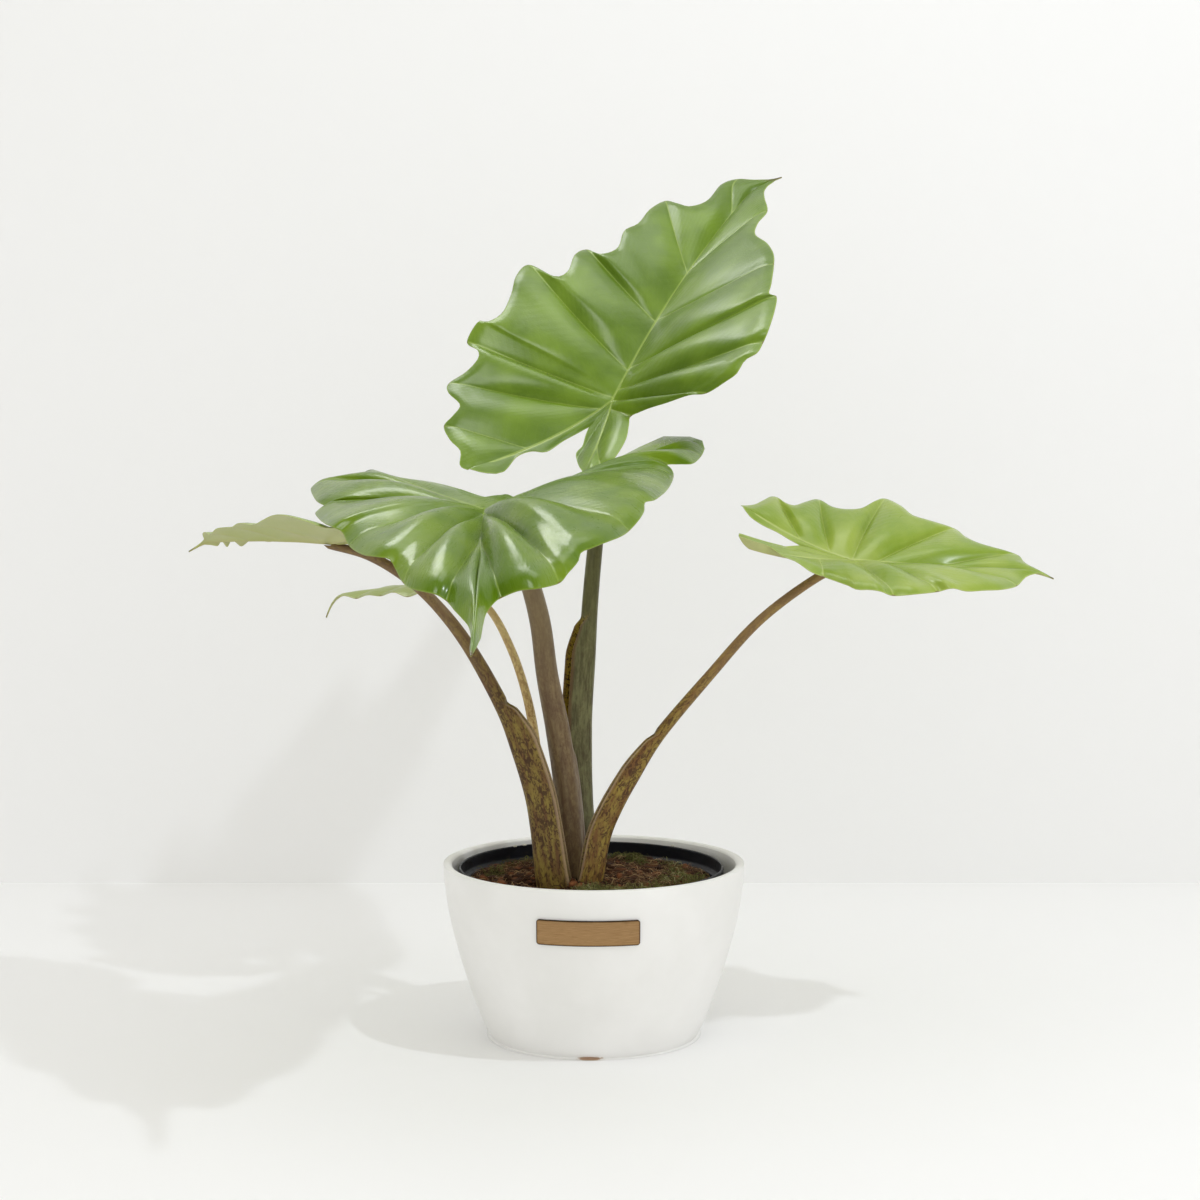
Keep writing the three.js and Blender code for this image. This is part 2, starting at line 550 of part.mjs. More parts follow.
// Both faces of a blade from its middle surface, with a strip round the margin.
function thickened(points, depths, triangles) {
  const normals = points.map(() => new THREE.Vector3());
  const edges = new Map();
  for (const [a, b, c] of triangles) {
    const normal = new THREE.Vector3().crossVectors(
      points[b].clone().sub(points[a]), points[c].clone().sub(points[a]),
    );
    for (const k of [a, b, c]) normals[k].add(normal);
    for (const [p, q] of [[a, b], [b, c], [c, a]]) {
      const twin = `${q},${p}`;
      if (edges.has(twin)) edges.delete(twin);
      else edges.set(`${p},${q}`, [p, q]);
    }
  }
  const count = points.length;
  const top = points.map((p, k) => p.clone().addScaledVector(normals[k].normalize(), bladeSkin / 2));
  const bottom = points.map((p, k) => p.clone().addScaledVector(normals[k], -bladeSkin / 2 - depths[k]));
  const faces = triangles.flatMap(([a, b, c]) => [[a, b, c], [count + a, count + c, count + b]]);
  for (const [p, q] of edges.values()) faces.push([p, count + p, count + q], [p, count + q, q]);
  return closedShape([...top, ...bottom], faces);
}

// Cross-section of a stalk, round where open is 0 and a winged channel where it is 1.
// The extra allowance gives the section of its hole in the soil, where the channel is filled.
function stalkSection(radius, wing, open, allowance = 0) {
  const r = radius + allowance;
  const skin = Math.min(sheathSkin, radius * 0.5);
  const shoulder = radius * 0.35 + wing * 0.5;
  const crest = radius * 0.55 + wing + allowance;
  const wall = [
    [crest, 0.9 * r], [shoulder, 1.08 * r], [0, r], [-0.5 * r, 0.87 * r], [-0.87 * r, 0.5 * r], [-r, 0],
  ];
  const inside = allowance > 0
    ? [[crest, 0], [crest, 0.3 * r], [crest, 0.6 * r], [crest, 0.8 * r]]
    : [[-0.1 * r, 0], [shoulder * 0.5, 0.62 * r], [shoulder, 1.08 * r - skin], [crest, 0.9 * r - skin]];
  const half = [...inside, ...wall];
  const opened = [...half, ...half.slice(1, -1).reverse().map(([f, l]) => [f, -l])];
  return opened.map(([f, l], k) => {
    const angle = (2 * Math.PI * k) / opened.length;
    return [
      THREE.MathUtils.lerp(r * Math.cos(angle), f, open),
      THREE.MathUtils.lerp(r * Math.sin(angle), l, open),
    ];
  });
}

// The rings of a stalk from its foot on the corm up to the underside of its blade.
function stalkRings(leaf, allowance = 0) {
  const { up } = leafAxes(leaf);
  const end = new THREE.Vector3(...leaf.joint).addScaledVector(up, -(bladeSkin / 2 + ribDepth + gap));
  const foot = new THREE.Vector3(leaf.foot[0], leaf.foot[1], stalkFoot);
  const stations = [foot, ...leaf.path.map((p) => new THREE.Vector3(...p)), end];
  const radii = [leaf.footRadius, ...leaf.thickness, leaf.endThickness];
  const curve = new THREE.CatmullRomCurve3(stations, false, 'centripetal');
  const facing = new THREE.Vector3(...leaf.facing).normalize();
  const rings = [];
  const steps = (stations.length - 1) * stalkSteps;
  for (let k = 0; k <= steps; k += 1) {
    const span = Math.min(Math.floor(k / stalkSteps), stations.length - 2);
    const t = k / stalkSteps - span;
    const centre = curve.getPoint(k / steps);
    const tangent = k === 0 ? new THREE.Vector3(0, 0, 1) : curve.getTangent(k / steps);
    const arrival = THREE.MathUtils.clamp(k - steps + 2, 0, 2) * stalkArrival;
    tangent.lerp(up, arrival).normalize();
    const radius = THREE.MathUtils.lerp(radii[span], radii[span + 1], t);
    const opening = THREE.MathUtils.smoothstep(centre.z, leaf.sheathFrom - sheathOpening, leaf.sheathFrom);
    const closing = 1 - THREE.MathUtils.smoothstep(centre.z, leaf.sheathTo - sheathClosing, leaf.sheathTo);
    const taper = 1 - THREE.MathUtils.smoothstep(centre.z, leaf.sheathTo - wingTaper, leaf.sheathTo);
    const open = Math.min(opening, closing);
    const width = centre.z < leaf.sheathTo ? THREE.MathUtils.lerp(narrowWing, 1, taper) : 0;
    const wing = leaf.wing * opening * width;
    const across = new THREE.Vector3().crossVectors(tangent, facing).normalize();
    const front = new THREE.Vector3().crossVectors(across, tangent).normalize();
    rings.push(stalkSection(radius, wing, open, allowance).map(([f, l]) => {
      const point = centre.clone().addScaledVector(front, f).addScaledVector(across, l);
      if (k === 0) point.z = stalkFoot - (allowance > 0 ? gap : 0);
      if (k === steps) point.addScaledVector(tangent, end.clone().sub(point).dot(up) / tangent.dot(up));
      return point;
    }));
  }
  return rings;
}

// Outer pot.
addPart('outer_pot', turned(potOutline, potFacets), 0xf2f0ec, 0.62, 0);

// Bronze plate, bent to the pot at a small clearance and cut at its corners.
function potRadius(height) {
  const k = potOutline.findIndex(([, z], i) => i > 1 && z >= height);
  const [r0, z0] = potOutline[k - 1];
  const [r1, z1] = potOutline[k];
  return THREE.MathUtils.mapLinear(height, z0, z1, r0, r1);
}
const plateRing = [];
for (let c = 0; c <= plateColumns; c += 1) {
  const across = (c / plateColumns - 0.5) * plateWidth;
  const inset = Math.max(0, Math.abs(across) - (plateWidth / 2 - plateCorner));
  const cut = inset > 0 ? plateCorner - Math.sqrt(Math.max(plateCorner ** 2 - inset ** 2, 0)) : 0;
  const section = [];
  for (let r = 0; r <= plateRows; r += 1) {
    const height = THREE.MathUtils.lerp(plateBottom + cut, plateTop - cut, r / plateRows);
    section.push([potRadius(height) + gap, height]);
  }
  const outer = section.map(([radius, height]) => [radius + plateThickness, height]).reverse();
  plateRing.push([...section, ...outer].map(([radius, height]) => {
    const angle = (plateCentreX + across) / potRadius(height);
    return new THREE.Vector3(radius * Math.sin(angle), -radius * Math.cos(angle), height);
  }));
}
addPart('bronze_plate', skinned(plateRing), 0x9a7340, 0.42, 0.85);

// Nursery liner with its drain holes.
let liner = toManifold(turned(linerOutline, linerFacets, linerX));
for (let k = 0; k < drainHoles; k += 1) {
  const angle = (2 * Math.PI * k) / drainHoles;
  const x = linerX + drainCircle * Math.cos(angle);
  const y = drainCircle * Math.sin(angle);
  const [low, high] = drainPunch;
  const punch = [[0, low], [drainRadius, low], [drainRadius, high], [0, high]];
  liner = liner.subtract(toManifold(turned(punch, drainFacets, x, y)));
}
addPart('nursery_liner', fromManifold(liner), 0x1b1c1e, 0.5, 0);

// Corm.
addPart('corm', turned(cormOutline, cormFacets, cormX, cormY), 0x6b4a2f, 0.85, 0);

// Soil with a lumpy top, plain holes for the stalks and a hollow round the corm.
const random = seededRandom(soilSeed);
const soilPoints = [];
const soilTriangles = [];
const soilCircles = [];
const addCircle = (radius, heightAt) => {
  const first = soilPoints.length;
  for (let k = 0; k < linerFacets; k += 1) {
    const angle = (2 * Math.PI * k) / linerFacets;
    const x = linerX + radius * Math.cos(angle);
    soilPoints.push(new THREE.Vector3(x, radius * Math.sin(angle), heightAt()));
  }
  soilCircles.push(first);
};
soilPoints.push(new THREE.Vector3(linerX, 0, soilBottom));
addCircle(soilBottomRadius - 1, () => soilBottom);
addCircle(soilWall[0][0], () => soilWall[0][1]);
addCircle(soilWall[1][0], () => soilWall[1][1]);
for (let ring = soilRings - 1; ring > 0; ring -= 1) {
  const share = ring / soilRings;
  const mound = soilEdge + soilMound * (1 - share ** 2);
  addCircle(soilWall[1][0] * share, () => mound + soilLumps * (random() - 0.5) * 2);
}
soilPoints.push(new THREE.Vector3(linerX, 0, soilEdge + soilMound));
for (let k = 0; k < linerFacets; k += 1) {
  const next = (k + 1) % linerFacets;
  soilTriangles.push([0, soilCircles[0] + next, soilCircles[0] + k]);
  for (let c = 0; c + 1 < soilCircles.length; c += 1) {
    const [low, high] = [soilCircles[c], soilCircles[c + 1]];
    soilTriangles.push([low + k, low + next, high + next], [low + k, high + next, high + k]);
  }
  const last = soilCircles[soilCircles.length - 1];
  soilTriangles.push([last + k, last + next, soilPoints.length - 1]);
}
const cormMiddle = (cormTop + cormOutline[0][1]) / 2;
const cormHollow = cormOutline.map(([radius, height]) => [
  radius === 0 ? 0 : radius + holeClearance, height + (height > cormMiddle ? gap : -gap),
]);
let soil = toManifold(closedShape(soilPoints, soilTriangles));
soil = soil.subtract(toManifold(turned(cormHollow, cormFacets, cormX, cormY)));
for (const leaf of leaves) {
  soil = soil.subtract(toManifold(skinned(stalkRings(leaf, holeClearance))));
}
addPart('soil', fromManifold(soil), 0x4a3524, 0.95, 0);

// Leaf stalks and blades.
for (const leaf of leaves) {
  addPart(leaf.stalk, skinned(stalkRings(leaf)), leaf.stalkColour, 0.55, 0);
}
for (const leaf of leaves) {
  addPart(leaf.name, blade(leaf), leaf.colour, 0.35, 0);
}

const plant = new THREE.Group();
plant.name = 'potted_alocasia';
plant.add(...solids);

export default plant;
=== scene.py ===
import math
import random

import bmesh
import bpy
import numpy as np
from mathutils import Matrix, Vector, noise


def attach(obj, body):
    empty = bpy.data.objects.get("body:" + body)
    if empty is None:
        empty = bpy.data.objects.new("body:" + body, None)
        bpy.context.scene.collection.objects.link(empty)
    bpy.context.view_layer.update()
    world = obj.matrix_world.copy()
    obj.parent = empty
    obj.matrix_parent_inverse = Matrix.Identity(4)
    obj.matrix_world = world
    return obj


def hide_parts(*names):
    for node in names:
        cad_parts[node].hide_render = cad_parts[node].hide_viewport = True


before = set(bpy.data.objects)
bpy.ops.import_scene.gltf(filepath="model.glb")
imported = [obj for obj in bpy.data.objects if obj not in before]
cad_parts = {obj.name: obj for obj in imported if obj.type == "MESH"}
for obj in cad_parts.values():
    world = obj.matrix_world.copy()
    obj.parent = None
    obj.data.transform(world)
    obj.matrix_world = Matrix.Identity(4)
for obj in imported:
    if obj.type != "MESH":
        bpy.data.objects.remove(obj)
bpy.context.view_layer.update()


# White outer pot
# A cast pot with a thin rounded lip, finished in smooth matt white.
# It stands flat on the floor and carries the black liner inside it.

mm = 0.001
tiny = 1e-6
pot_outline = [
    (0, 0), (56.5, 0), (59.4, 0.9), (62.5, 6), (66.3, 15), (70.2, 26), (76.3, 45), (82.2, 68), (85.2, 87),
    (86, 98.4), (85.5, 99.6), (84.3, 100), (82.6, 99.9), (81.6, 99.2), (81.1, 97.6),
    (80.3, 87), (77.2, 68), (71.3, 45), (65.2, 26), (61.2, 15), (57, 8), (53, 6), (0, 6),
]
pot_facets = 160
pot_steps = 5
pot_outside = slice(5, 46)
pot_mark = Vector((-2, -58.6, 0.7)) * mm


def smooth(before, start, end, after, share):
    """A value that runs smoothly from start to end, led by the neighbours on both sides."""
    bend = 3 * (start - end) + after - before
    lean = 2 * before - 5 * start + 4 * end - after
    return start + 0.5 * share * (end - before + share * (lean + share * bend))


def smooth_line(points, steps):
    """Points along a smooth line through the given points."""
    given = np.array(points, float)
    padded = np.vstack([given[0], given, given[-1]])
    line = [given[0]]
    for k in range(len(given) - 1):
        for step in range(1, steps + 1):
            line.append(smooth(padded[k], padded[k + 1], padded[k + 2], padded[k + 3], step / steps))
    return np.array(line)


def turned(outline, facets, centre=(0, 0)):
    """Points and faces of an outline that is turned about the vertical axis it starts and ends on."""
    points = []
    rows = []
    for radius, height in outline:
        count = 1 if radius < tiny else facets
        rows.append((len(points), count))
        for k in range(count):
            angle = 2 * math.pi * k / facets
            x = centre[0] + radius * math.cos(angle)
            y = centre[1] + radius * math.sin(angle)
            points.append((x, y, height))
    faces = []
    for (low, low_count), (high, high_count) in zip(rows, rows[1:]):
        for k in range(facets):
            following = (k + 1) % facets
            corners = [low + k % low_count, low + following % low_count,
                       high + following % high_count, high + k % high_count]
            faces.append(list(dict.fromkeys(corners)))
    return np.array(points), [face for face in faces if len(face) > 2]


def add_piece(name, points, faces, material, stands_for=()):
    """A smooth piece of the plant that rides on its one body and takes the finish it is given."""
    mesh = bpy.data.meshes.new(name)
    mesh.from_pydata(np.asarray(points).tolist(), [], faces)
    mesh.shade_smooth()
    mesh.materials.append(material)
    piece = bpy.data.objects.new(name, mesh)
    bpy.context.scene.collection.objects.link(piece)
    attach(piece, "root")
    if stands_for:
        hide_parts(*stands_for)
    return piece


def new_finish(name, roughness, **values):
    """A material with one shader, whose plain values are set on its own sockets."""
    material = bpy.data.materials.new(name)
    material.use_nodes = True
    shader = material.node_tree.nodes["Principled BSDF"]
    shader.inputs["Roughness"].default_value = roughness
    for socket, value in values.items():
        shader.inputs[socket.replace("_", " ")].default_value = value
    return material, shader


def add_node(shader, kind, inputs, **settings):
    """A node beside the shader, with its inputs set to values or joined to other nodes."""
    tree = shader.id_data
    made = tree.nodes.new("ShaderNode" + kind)
    for setting, value in settings.items():
        setattr(made, setting, value)
    for socket, value in inputs.items():
        if isinstance(value, bpy.types.NodeSocket):
            tree.links.new(value, made.inputs[socket])
        else:
            made.inputs[socket].default_value = value
    return made


def own_place(shader):
    """The place of a point on its piece, in metres."""
    return add_node(shader, "TexCoord", {}).outputs["Object"]


def stretched(shader, place, sizes):
    """A place with each direction scaled, which stretches the grain that reads it."""
    return add_node(shader, "VectorMath", {0: place, 1: sizes}, operation="MULTIPLY").outputs[0]


def grain(shader, place, scale, detail=3.0, roughness=0.55, distortion=0.0):
    """Cloudy grain from 0 to 1, with this many patches to the metre."""
    inputs = {"Vector": place, "Scale": scale, "Detail": detail, "Roughness": roughness,
              "Distortion": distortion}
    return add_node(shader, "TexNoise", inputs).outputs["Fac"]


def between(shader, value, low, high, first=0.0, last=1.0):
    """Turns a value from low to high into one from first to last, with soft ends."""
    inputs = {"Value": value, "From Min": low, "From Max": high, "To Min": first, "To Max": last}
    return add_node(shader, "MapRange", inputs, interpolation_type="SMOOTHSTEP").outputs[0]


def mixed(shader, share, first, last):
    """A colour between two others."""
    inputs = {0: share, 6: first, 7: last}
    return add_node(shader, "Mix", inputs, data_type="RGBA").outputs[2]


def times(shader, first, last):
    return add_node(shader, "Math", {0: first, 1: last}, operation="MULTIPLY").outputs[0]


def plus(shader, first, last):
    return add_node(shader, "Math", {0: first, 1: last}, operation="ADD").outputs[0]


def join(shader, socket, value):
    shader.id_data.links.new(value, shader.inputs[socket])


def relief(shader, height, depth, strength=1.0, under=None):
    """Raises the surface by a grain, by up to this depth in metres."""
    inputs = {"Height": height, "Distance": depth, "Strength": strength}
    if under is not None:
        inputs["Normal"] = under
    return add_node(shader, "Bump", inputs).outputs["Normal"]


matt_white, shader = new_finish("matt_white", 0.5)
place = own_place(shader)
cloud = grain(shader, place, 14, detail=4)
white = mixed(shader, between(shader, cloud, 0.35, 0.7), (0.80, 0.795, 0.775, 1), (0.86, 0.855, 0.84, 1))
from_mark = add_node(shader, "VectorMath", {0: place, 1: pot_mark}, operation="SUBTRACT").outputs[0]
from_mark = stretched(shader, from_mark, (130, 90, 900))
to_mark = add_node(shader, "VectorMath", {0: from_mark}, operation="LENGTH").outputs["Value"]
rub = between(shader, plus(shader, to_mark, grain(shader, place, 900)), 1.1, 1.6)
join(shader, "Base Color", mixed(shader, rub, (0.42, 0.27, 0.17, 1), white))
join(shader, "Roughness", between(shader, grain(shader, place, 60), 0.3, 0.75, 0.42, 0.56))
join(shader, "Normal", relief(shader, grain(shader, place, 1400, detail=2), 0.00004))

pot_line = smooth_line(pot_outline, pot_steps) * mm
pot_line[:, 0] = np.maximum(pot_line[:, 0], 0)
pot_line[:, 1] = np.maximum(pot_line[:, 1], 0)
pot_points, pot_faces = turned(pot_line, pot_facets)
add_piece("white_pot", pot_points, pot_faces, matt_white, ["outer_pot"])


# Bronze plate
# A thin strip of brushed bronze with rounded corners, bent to the round of the pot and glued on its front.
# Its edges have darkened with age. It is left bare.

plate_width = 57 * mm
plate_low = 69 * mm
plate_high = 83.5 * mm
plate_gap = 0.3 * mm
plate_thickness = 1.1 * mm
plate_middle = -3 * mm
plate_corner = 1.8 * mm
plate_bevel = 0.35 * mm
plate_columns = 96
plate_rows = 30


def pot_radius(height):
    """Outer radius of the pot at a height."""
    outside = pot_line[pot_outside]
    return np.interp(height, outside[:, 1], outside[:, 0])


def crowded_ends(count):
    """Shares from 0 to 1 that lie closer together near both ends."""
    share = np.linspace(0, 1, count + 1)
    return share - 0.85 * np.sin(2 * math.pi * share) / (2 * math.pi)


plate_points = []
plate_edge = []
for front in (False, True):
    for share_across in crowded_ends(plate_columns):
        across = (share_across - 0.5) * plate_width
        past = max(0.0, abs(across) - (plate_width / 2 - plate_corner))
        cut = plate_corner - math.sqrt(max(plate_corner ** 2 - past ** 2, 0)) if past > 0 else 0
        for share_up in crowded_ends(plate_rows):
            height = plate_low + cut + share_up * (plate_high - plate_low - 2 * cut)
            edge = min(plate_width / 2 - abs(across), height - plate_low - cut, plate_high - cut - height)
            worn = max(0.0, 1 - edge / plate_bevel)
            stand = plate_gap + (plate_thickness - plate_bevel * worn ** 2 if front else 0)
            radius = pot_radius(height) + stand
            angle = (plate_middle + across) / pot_radius(height)
            plate_points.append((radius * math.sin(angle), -radius * math.cos(angle), height))
            plate_edge.append(edge)


def sheet_faces(columns, rows, first=0, turned_over=False):
    """Faces of a sheet of points that run up each column in turn."""
    faces = []
    for c in range(columns):
        for r in range(rows):
            a = first + c * (rows + 1) + r
            corners = [a, a + rows + 1, a + rows + 2, a + 1]
            faces.append(corners[::-1] if turned_over else corners)
    return faces


plate_sheet = (plate_columns + 1) * (plate_rows + 1)
plate_faces = sheet_faces(plate_columns, plate_rows, 0, turned_over=True)
plate_faces += sheet_faces(plate_columns, plate_rows, plate_sheet)
around = [c * (plate_rows + 1) for c in range(plate_columns + 1)]
around += [plate_columns * (plate_rows + 1) + r for r in range(1, plate_rows + 1)]
around += [c * (plate_rows + 1) + plate_rows for c in range(plate_columns - 1, -1, -1)]
around += list(range(plate_rows - 1, 0, -1))
for a, b in zip(around, around[1:] + around[:1]):
    plate_faces.append([a, b, b + plate_sheet, a + plate_sheet])


def mark(piece, name, values, kind="FLOAT"):
    """Keeps a value or a place for each point, which the piece's finish reads by name."""
    kept = piece.data.attributes.new(name, kind, "POINT")
    kept.data.foreach_set("value" if kind == "FLOAT" else "vector", np.asarray(values, np.float32).ravel())


def read(shader, name, place=False):
    """The value or place that mark() kept."""
    return add_node(shader, "Attribute", {}, attribute_name=name).outputs["Vector" if place else "Fac"]


bronze, shader = new_finish("brushed_bronze", 0.4, Metallic=1.0)
place = own_place(shader)
brushing = grain(shader, stretched(shader, place, (0.05, 0.05, 2.2)), 2600, detail=3, roughness=0.7)
clouds = grain(shader, stretched(shader, place, (1, 1, 1.6)), 70, detail=4)
metal = mixed(shader, between(shader, brushing, 0.3, 0.75), (0.33, 0.19, 0.085, 1), (0.52, 0.33, 0.16, 1))
metal = mixed(shader, between(shader, clouds, 0.55, 0.8, 0.0, 0.55), metal, (0.16, 0.09, 0.045, 1))
dark_edge = between(shader, read(shader, "edge"), 0.0002, 0.0011)
join(shader, "Base Color", mixed(shader, dark_edge, (0.07, 0.038, 0.02, 1), metal))
join(shader, "Roughness", between(shader, brushing, 0.25, 0.8, 0.34, 0.52))
join(shader, "Normal", relief(shader, brushing, 0.00006))

plate = add_piece("bronze_plate_bare", plate_points, plate_faces, bronze, ["bronze_plate"])
mark(plate, "edge", plate_edge)


# Nursery liner
# A thin moulded pot of black plastic with a stepped, rounded rim and drain holes in its floor.
# It stands loose inside the white pot and holds the soil.

liner_middle = -1.5 * mm
liner_outline = [
    (0, 6.3), (30, 6.3), (50.2, 6.3), (52.2, 7), (53, 8.6), (57.9, 28), (62.8, 48), (67.7, 68), (72.4, 87.2),
    (73, 88.4), (75, 89.1), (75.7, 90), (75.8, 93.5), (75.8, 96.4), (75.6, 97.2), (75.1, 97.6), (74.6, 97.2),
    (74.5, 96.4), (74.5, 91.2), (74.1, 90.3), (72.2, 89.5), (71.5, 88.4),
    (66.6, 68), (61.7, 48), (56.8, 28), (52, 9.6), (51.4, 8.4), (50, 7.8), (30, 7.8), (0, 7.8),
]
liner_facets = 144
liner_steps = 3
drain_holes = 5
drain_radius = 5 * mm
drain_circle = 34 * mm
drain_facets = 32
punch_low = 2 * mm
punch_high = 12 * mm

black_plastic, shader = new_finish("black_plastic", 0.4, Specular_IOR_Level=0.3)
place = own_place(shader)
dust = grain(shader, place, 260, detail=6, roughness=0.75)
low_dust = between(shader, add_node(shader, "SeparateXYZ", {0: place}).outputs["Z"], 0.0965, 0.088)
dusty = times(shader, between(shader, dust, 0.52, 0.72), low_dust)
bare = mixed(shader, between(shader, dust, 0.6, 0.85), (0.008, 0.009, 0.014, 1), (0.03, 0.032, 0.04, 1))
join(shader, "Base Color", mixed(shader, times(shader, dusty, 0.55), bare, (0.10, 0.07, 0.045, 1)))
join(shader, "Roughness", between(shader, dust, 0.3, 0.8, 0.34, 0.6))
join(shader, "Normal", relief(shader, grain(shader, place, 2200, detail=2), 0.00005))

liner_line = smooth_line(liner_outline, liner_steps) * mm
liner_line[:, 0] = np.maximum(liner_line[:, 0], 0)
liner_points, liner_faces = turned(liner_line, liner_facets, (liner_middle, 0))
liner = add_piece("black_liner", liner_points, liner_faces, black_plastic, ["nursery_liner"])
punch_points = []
punch_faces = []
for k in range(drain_holes):
    angle = 2 * math.pi * k / drain_holes
    centre = (liner_middle + drain_circle * math.cos(angle), drain_circle * math.sin(angle))
    punch_line = [(0, punch_low), (drain_radius, punch_low), (drain_radius, punch_high), (0, punch_high)]
    points, faces = turned(punch_line, drain_facets, centre)
    punch_faces += [[corner + len(punch_points) for corner in face] for face in faces]
    punch_points += points.tolist()


def cut_away(piece, points, faces):
    """Cuts a shape out of a piece and leaves nothing of the cutter."""
    mesh = bpy.data.meshes.new("cutter")
    mesh.from_pydata(np.asarray(points).tolist(), [], faces)
    cutter = bpy.data.objects.new("cutter", mesh)
    bpy.context.scene.collection.objects.link(cutter)
    cut = piece.modifiers.new("cut", "BOOLEAN")
    cut.operation = "DIFFERENCE"
    cut.solver = "EXACT"
    cut.object = cutter
    settled = piece.evaluated_get(bpy.context.evaluated_depsgraph_get())
    result = bpy.data.meshes.new_from_object(settled)
    piece.modifiers.clear()
    old = piece.data
    piece.data = result
    bpy.data.meshes.remove(old)
    bpy.data.objects.remove(cutter)
    bpy.data.meshes.remove(mesh)


cut_away(liner, punch_points, punch_faces)


# Corm
# The short swollen stem base, under the soil, from which every leaf stalk grows.
# It is living tissue with a rough brown skin, ringed by the scars of old leaves.

corm_middle = (-13 * mm, -8 * mm)
corm_outline = [(0, 34), (9, 36), (17, 43), (21.5, 53), (22, 61), (20.6, 69.7), (0, 69.7)]
corm_facets = 96
corm_rings = 7
corm_tall = 36 * mm
corm_steps = 6
ring_height = 0.4 * mm

corm_skin, shader = new_finish("corm_skin", 0.85, Specular_IOR_Level=0.2)
place = own_place(shader)
scars = grain(shader, stretched(shader, place, (0.35, 0.35, 3.0)), 260, detail=5)
join(shader, "Base Color", mixed(shader, scars, (0.05, 0.024, 0.012, 1), (0.21, 0.12, 0.06, 1)))
join(shader, "Normal", relief(shader, scars, 0.0008))

corm_line = [(radius * mm, height * mm) for radius, height in corm_outline]
fine_line = []
for (r0, z0), (r1, z1) in zip(corm_line, corm_line[1:]):
    for step in range(corm_steps):
        share = step / corm_steps
        radius = r0 + (r1 - r0) * share
        height = z0 + (z1 - z0) * share
        ring = ring_height * abs(math.sin(corm_rings * math.pi * height / corm_tall))
        fine_line.append((max(radius - ring, 0) if radius > 0 else 0, height))
fine_line.append(corm_line[-1])
corm_points, corm_faces = turned(fine_line, corm_facets, corm_middle)
add_piece("ringed_corm", corm_points, corm_faces, corm_skin, ["corm"])


# Soil
# A damp mix of coir and peat that fills the liner and swells a little towards the middle.
# It is loose and lumpy, and the stalks come up through it.

soil_wall = [(50.4, 8.1), (51.6, 9.4), (61.3, 48.8), (71, 88.2)]
soil_edge = 88.4 * mm
soil_mound = 5 * mm
soil_radius = 71 * mm
soil_rings = 64
soil_facets = 190


def soil_height(x, y):
    """Height of the top of the soil."""
    reach = min(1.0, math.hypot(x - liner_middle, y) / soil_radius)
    lumps = 2.3 * mm * noise.fractal(Vector((x, y, 0.3)) * 55, 0.9, 2.2, 3)
    crumbs = 1.5 * mm * noise.fractal(Vector((x, y, 4.1)) * 260, 0.6, 2.1, 4)
    calm = 1 - reach ** 6
    return soil_edge + soil_mound * (1 - reach ** 2) + (lumps + crumbs) * calm + 0.3 * crumbs * (1 - calm)


soil_points = [(liner_middle, 0, soil_wall[0][1] * mm)]
soil_circles = [(radius * mm, height * mm) for radius, height in soil_wall]
soil_circles += [(soil_radius * (1 - ring / soil_rings), None) for ring in range(1, soil_rings)]
soil_firsts = []
for radius, height in soil_circles:
    soil_firsts.append(len(soil_points))
    for k in range(soil_facets):
        angle = 2 * math.pi * k / soil_facets
        x = liner_middle + radius * math.cos(angle)
        y = radius * math.sin(angle)
        soil_points.append((x, y, soil_height(x, y) if height is None else height))
soil_points.append((liner_middle, 0, soil_height(liner_middle, 0)))
soil_faces = []
for k in range(soil_facets):
    following = (k + 1) % soil_facets
    soil_faces.append([0, soil_firsts[0] + following, soil_firsts[0] + k])
    for low, high in zip(soil_firsts, soil_firsts[1:]):
        soil_faces.append([low + k, low + following, high + following, high + k])
    soil_faces.append([soil_firsts[-1] + k, soil_firsts[-1] + following, len(soil_points) - 1])

coir_soil, shader = new_finish("coir_soil", 0.9, Specular_IOR_Level=0.1)
place = own_place(shader)
peat = mixed(shader, between(shader, grain(shader, place, 190, detail=5), 0.35, 0.65),
             (0.015, 0.007, 0.0035, 1), (0.075, 0.033, 0.013, 1))
reddish = between(shader, grain(shader, place, 48, detail=4), 0.55, 0.68)
peat = mixed(shader, reddish, peat, (0.19, 0.075, 0.035, 1))
flecks = between(shader, grain(shader, place, 1500, detail=3, roughness=0.7), 0.6, 0.72)
join(shader, "Base Color", mixed(shader, flecks, peat, (0.28, 0.17, 0.08, 1)))
join(shader, "Normal", relief(shader, grain(shader, place, 900, detail=6, roughness=0.75), 0.0014))

add_piece("coir_soil", soil_points, soil_faces, coir_soil, ["soil"])


# Crumbs of coir and bark
# Broken lumps of bark and pressed coir, red-brown where fresh, half sunk in the top of the soil.
# They are the coarse part of the potting mix, and three white grains of it lie on the liner's rim.

crumb_count = 760
crumb_sizes = (0.9 * mm, 3.3 * mm)
rim_crumbs = [(47, 59), (-47, 58), (-41.5, 62.5)]
rim_crumb_size = 0.9 * mm
rim_top = 97.6 * mm
white_tone = 2.0
stalk_feet = [(-6, 6, 7.5), (-13, -9, 8.5), (-22, -27, 10), (-27, 4, 4.5), (-2, -27, 8)]
scatter = random.Random(11)


def free_spot(reach=0.97):
    """A random spot on the soil, clear of the stalks."""
    while True:
        radius = soil_radius * reach * math.sqrt(scatter.random())
        angle = scatter.uniform(0, 2 * math.pi)
        x, y = liner_middle + radius * math.cos(angle), radius * math.sin(angle)
        if all(math.hypot(x - fx * mm, y - fy * mm) > clear * mm for fx, fy, clear in stalk_feet):
            return x, y


